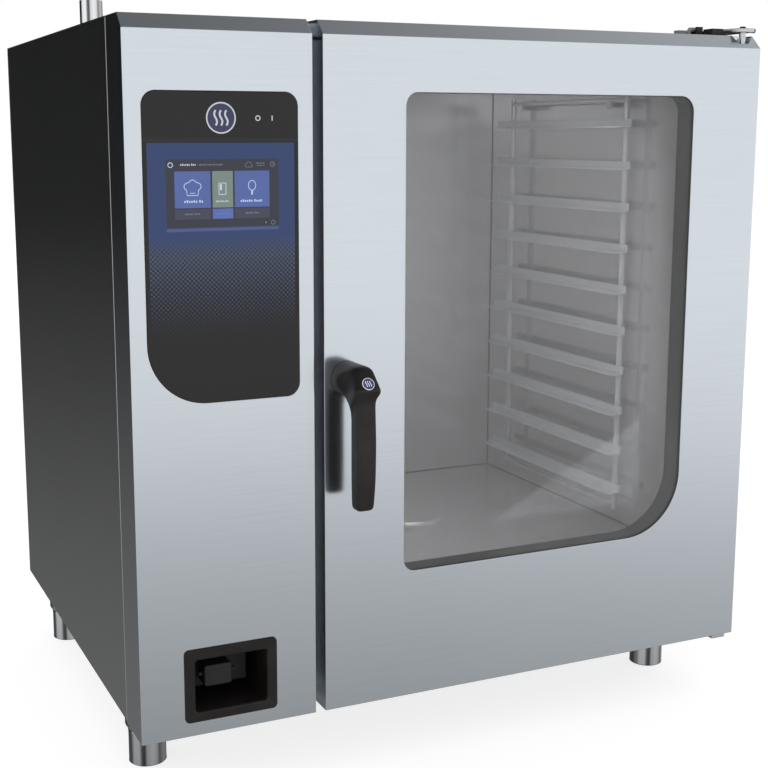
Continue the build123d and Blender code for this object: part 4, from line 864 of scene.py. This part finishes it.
def make_floor():
    mesh = bpy.data.meshes.new("floor")
    bm = bmesh.new()
    signs = ((-1, -1), (1, -1), (1, 1), (-1, 1))
    bm.faces.new([bm.verts.new((x * FLOOR_HALF, y * FLOOR_HALF, 0)) for x, y in signs])
    bm.to_mesh(mesh)
    bm.free()
    floor = bpy.data.objects.new("floor", mesh)
    bpy.context.scene.collection.objects.link(floor)
    s = Shader("floor")
    s.set(Base_Color=FLOOR_GREY, Roughness=0.9, Emission_Color=WHITE, Emission_Strength=FLOOR_GLOW,
          Specular_IOR_Level=0.1)
    s.bump(s.noise(40.0), 0.0002, 0.1)
    mesh.materials.append(s.material)
    floor.visible_glossy = False


# brightness of the studio in mirror rays by the upward lean of the ray, -1 down to 1 up
FRONT_PROFILE = [(-1.0, 0.31), (-0.44, 0.37), (-0.31, 0.60), (-0.21, 0.91), (-0.11, 1.02), (0.3, 1.0),
                 (0.55, 0.42), (0.95, 0.14)]
BACK_PROFILE = [(-1.0, 0.2), (-0.42, 0.16), (-0.3, 0.12), (-0.18, 0.06), (-0.06, 0.015), (0.2, 0.0),
                (0.7, 0.15), (1.0, 0.2)]
BACK_TURN = (0.42, 0.78)        # backward lean over which the front profile gives way to the back one
HIGH_LEAN = (0.35, 0.7)         # upward lean over which the sideways change sets in
SIDE_LEAN = (-0.2, 0.75)        # sideways lean over which the ceiling brightens to the right
SIDE_LEVELS = (0.5, 1.9)
MIRROR_POWER = 1.08
SOFT_POWER = 0.95


def make_world():
    """White for the eye; for mirror rays a studio with a bright front and a dark back."""
    world = bpy.data.worlds.new("studio")
    bpy.context.scene.world = world
    world.use_nodes = True
    tree = world.node_tree
    tree.nodes.clear()

    def add(kind, **settings):
        node = tree.nodes.new(kind)
        for key, value in settings.items():
            setattr(node, key, value)
        return node

    def feed(socket, value):
        if isinstance(value, bpy.types.NodeSocket):
            tree.links.new(value, socket)
        else:
            socket.default_value = value

    def math(operation, *values, clamp=False):
        node = add("ShaderNodeMath", operation=operation, use_clamp=clamp)
        for socket, value in zip(node.inputs, values):
            feed(socket, value)
        return node.outputs[0]

    def remap(value, *numbers):
        node = add("ShaderNodeMapRange", interpolation_type="SMOOTHSTEP")
        for socket, number in zip(node.inputs, (value, *numbers)):
            feed(socket, number)
        return node.outputs[0]

    def ramp(value, stops):
        node = add("ShaderNodeValToRGB")
        elements = node.color_ramp.elements
        while len(elements) < len(stops):
            elements.new(0.5)
        for element, (position, level) in zip(elements, stops):
            element.position = (position + 1) / 2
            element.color = (level, level, level, 1.0)
        feed(node.inputs[0], math("MULTIPLY_ADD", value, 0.5, 0.5))
        return node.outputs[0]

    direction = add("ShaderNodeSeparateXYZ")
    feed(direction.inputs[0], add("ShaderNodeTexCoord").outputs["Generated"])
    x, y, z = direction.outputs
    flat = math("SQRT", math("ADD", math("MULTIPLY", x, x), math("MULTIPLY", y, y)))
    back = remap(math("DIVIDE", y, math("MAXIMUM", flat, 0.001)), *BACK_TURN, 0.0, 1.0)
    bright = ramp(z, FRONT_PROFILE)
    dark = ramp(z, BACK_PROFILE)
    side = remap(x, *SIDE_LEAN, *SIDE_LEVELS)
    high = remap(z, *HIGH_LEAN, 0.0, 1.0)
    mirror = add("ShaderNodeMix", data_type="RGBA")
    feed(mirror.inputs[MIX_FACTOR], back)
    feed(mirror.inputs[MIX_A], bright)
    feed(mirror.inputs[MIX_B], dark)
    lift = add("ShaderNodeMix", data_type="FLOAT")
    feed(lift.inputs[0], high)
    feed(lift.inputs[2], 1.0)
    feed(lift.inputs[3], side)
    rays = add("ShaderNodeLightPath")
    glossy = add("ShaderNodeBackground")
    feed(glossy.inputs["Color"], mirror.outputs[MIX_OUT])
    feed(glossy.inputs["Strength"], math("MULTIPLY", lift.outputs[0], MIRROR_POWER))
    soft = add("ShaderNodeBackground")
    feed(soft.inputs["Color"], (*WHITE, 1))
    feed(soft.inputs["Strength"], SOFT_POWER)
    eye = add("ShaderNodeBackground")
    feed(eye.inputs["Color"], (*WHITE, 1))
    feed(eye.inputs["Strength"], 1.0)
    first = add("ShaderNodeMixShader")
    feed(first.inputs[0], rays.outputs["Is Glossy Ray"])
    tree.links.new(soft.outputs[0], first.inputs[1])
    tree.links.new(glossy.outputs[0], first.inputs[2])
    second = add("ShaderNodeMixShader")
    feed(second.inputs[0], rays.outputs["Is Camera Ray"])
    tree.links.new(first.outputs[0], second.inputs[1])
    tree.links.new(eye.outputs[0], second.inputs[2])
    tree.links.new(second.outputs[0], add("ShaderNodeOutputWorld").inputs["Surface"])


def area_light(name, place, target, size, energy, inside=False):
    """Unseen light panel; only one that hangs inside the cavity shows in mirror rays."""
    data = bpy.data.lights.new(name, "AREA")
    data.shape = "RECTANGLE"
    data.size, data.size_y = size
    data.energy = energy
    light = bpy.data.objects.new(name, data)
    light.location = place
    light.rotation_euler = (Vector(target) - Vector(place)).to_track_quat("-Z", "Y").to_euler()
    light.visible_glossy = inside
    light.visible_camera = False
    bpy.context.scene.collection.objects.link(light)


CAMERA_PLACE = (-0.91968, -2.06123, 0.90917)
CAMERA_YAW, CAMERA_PITCH = 24.472, 9.6925       # degrees to the right and down
CAMERA_LENS = 61.79                             # mm on a 36 mm sensor
CAMERA_SHIFT = (0.0320, -0.0304)


def make_camera():
    yaw, pitch = radians(CAMERA_YAW), radians(CAMERA_PITCH)
    data = bpy.data.cameras.new("camera")
    data.sensor_width = 36.0
    data.lens = CAMERA_LENS
    data.shift_x, data.shift_y = CAMERA_SHIFT
    camera = bpy.data.objects.new("camera", data)
    camera.location = CAMERA_PLACE
    ahead = Vector((sin(yaw) * cos(pitch), cos(yaw) * cos(pitch), -sin(pitch)))
    camera.rotation_euler = ahead.to_track_quat("-Z", "Y").to_euler()
    bpy.context.scene.collection.objects.link(camera)
    bpy.context.scene.camera = camera


make_floor()
make_world()
area_light("key", (-1.4, -2.8, 3.0), target=(0.0, 0.0, 0.5), size=(3.2, 2.4), energy=KEY_LIGHT)
area_light("cavity_top", at(600, 330, 885), target=at(600, 420, 300), size=(0.5, 0.42),
           energy=0.5 * CAVITY_LIGHT, inside=True)
area_light("cavity_front", at(600, 100, 520), target=at(620, 500, 480), size=(0.5, 0.6),
           energy=1.5 * CAVITY_LIGHT)
make_camera()
bpy.context.scene.view_settings.view_transform = "Standard"
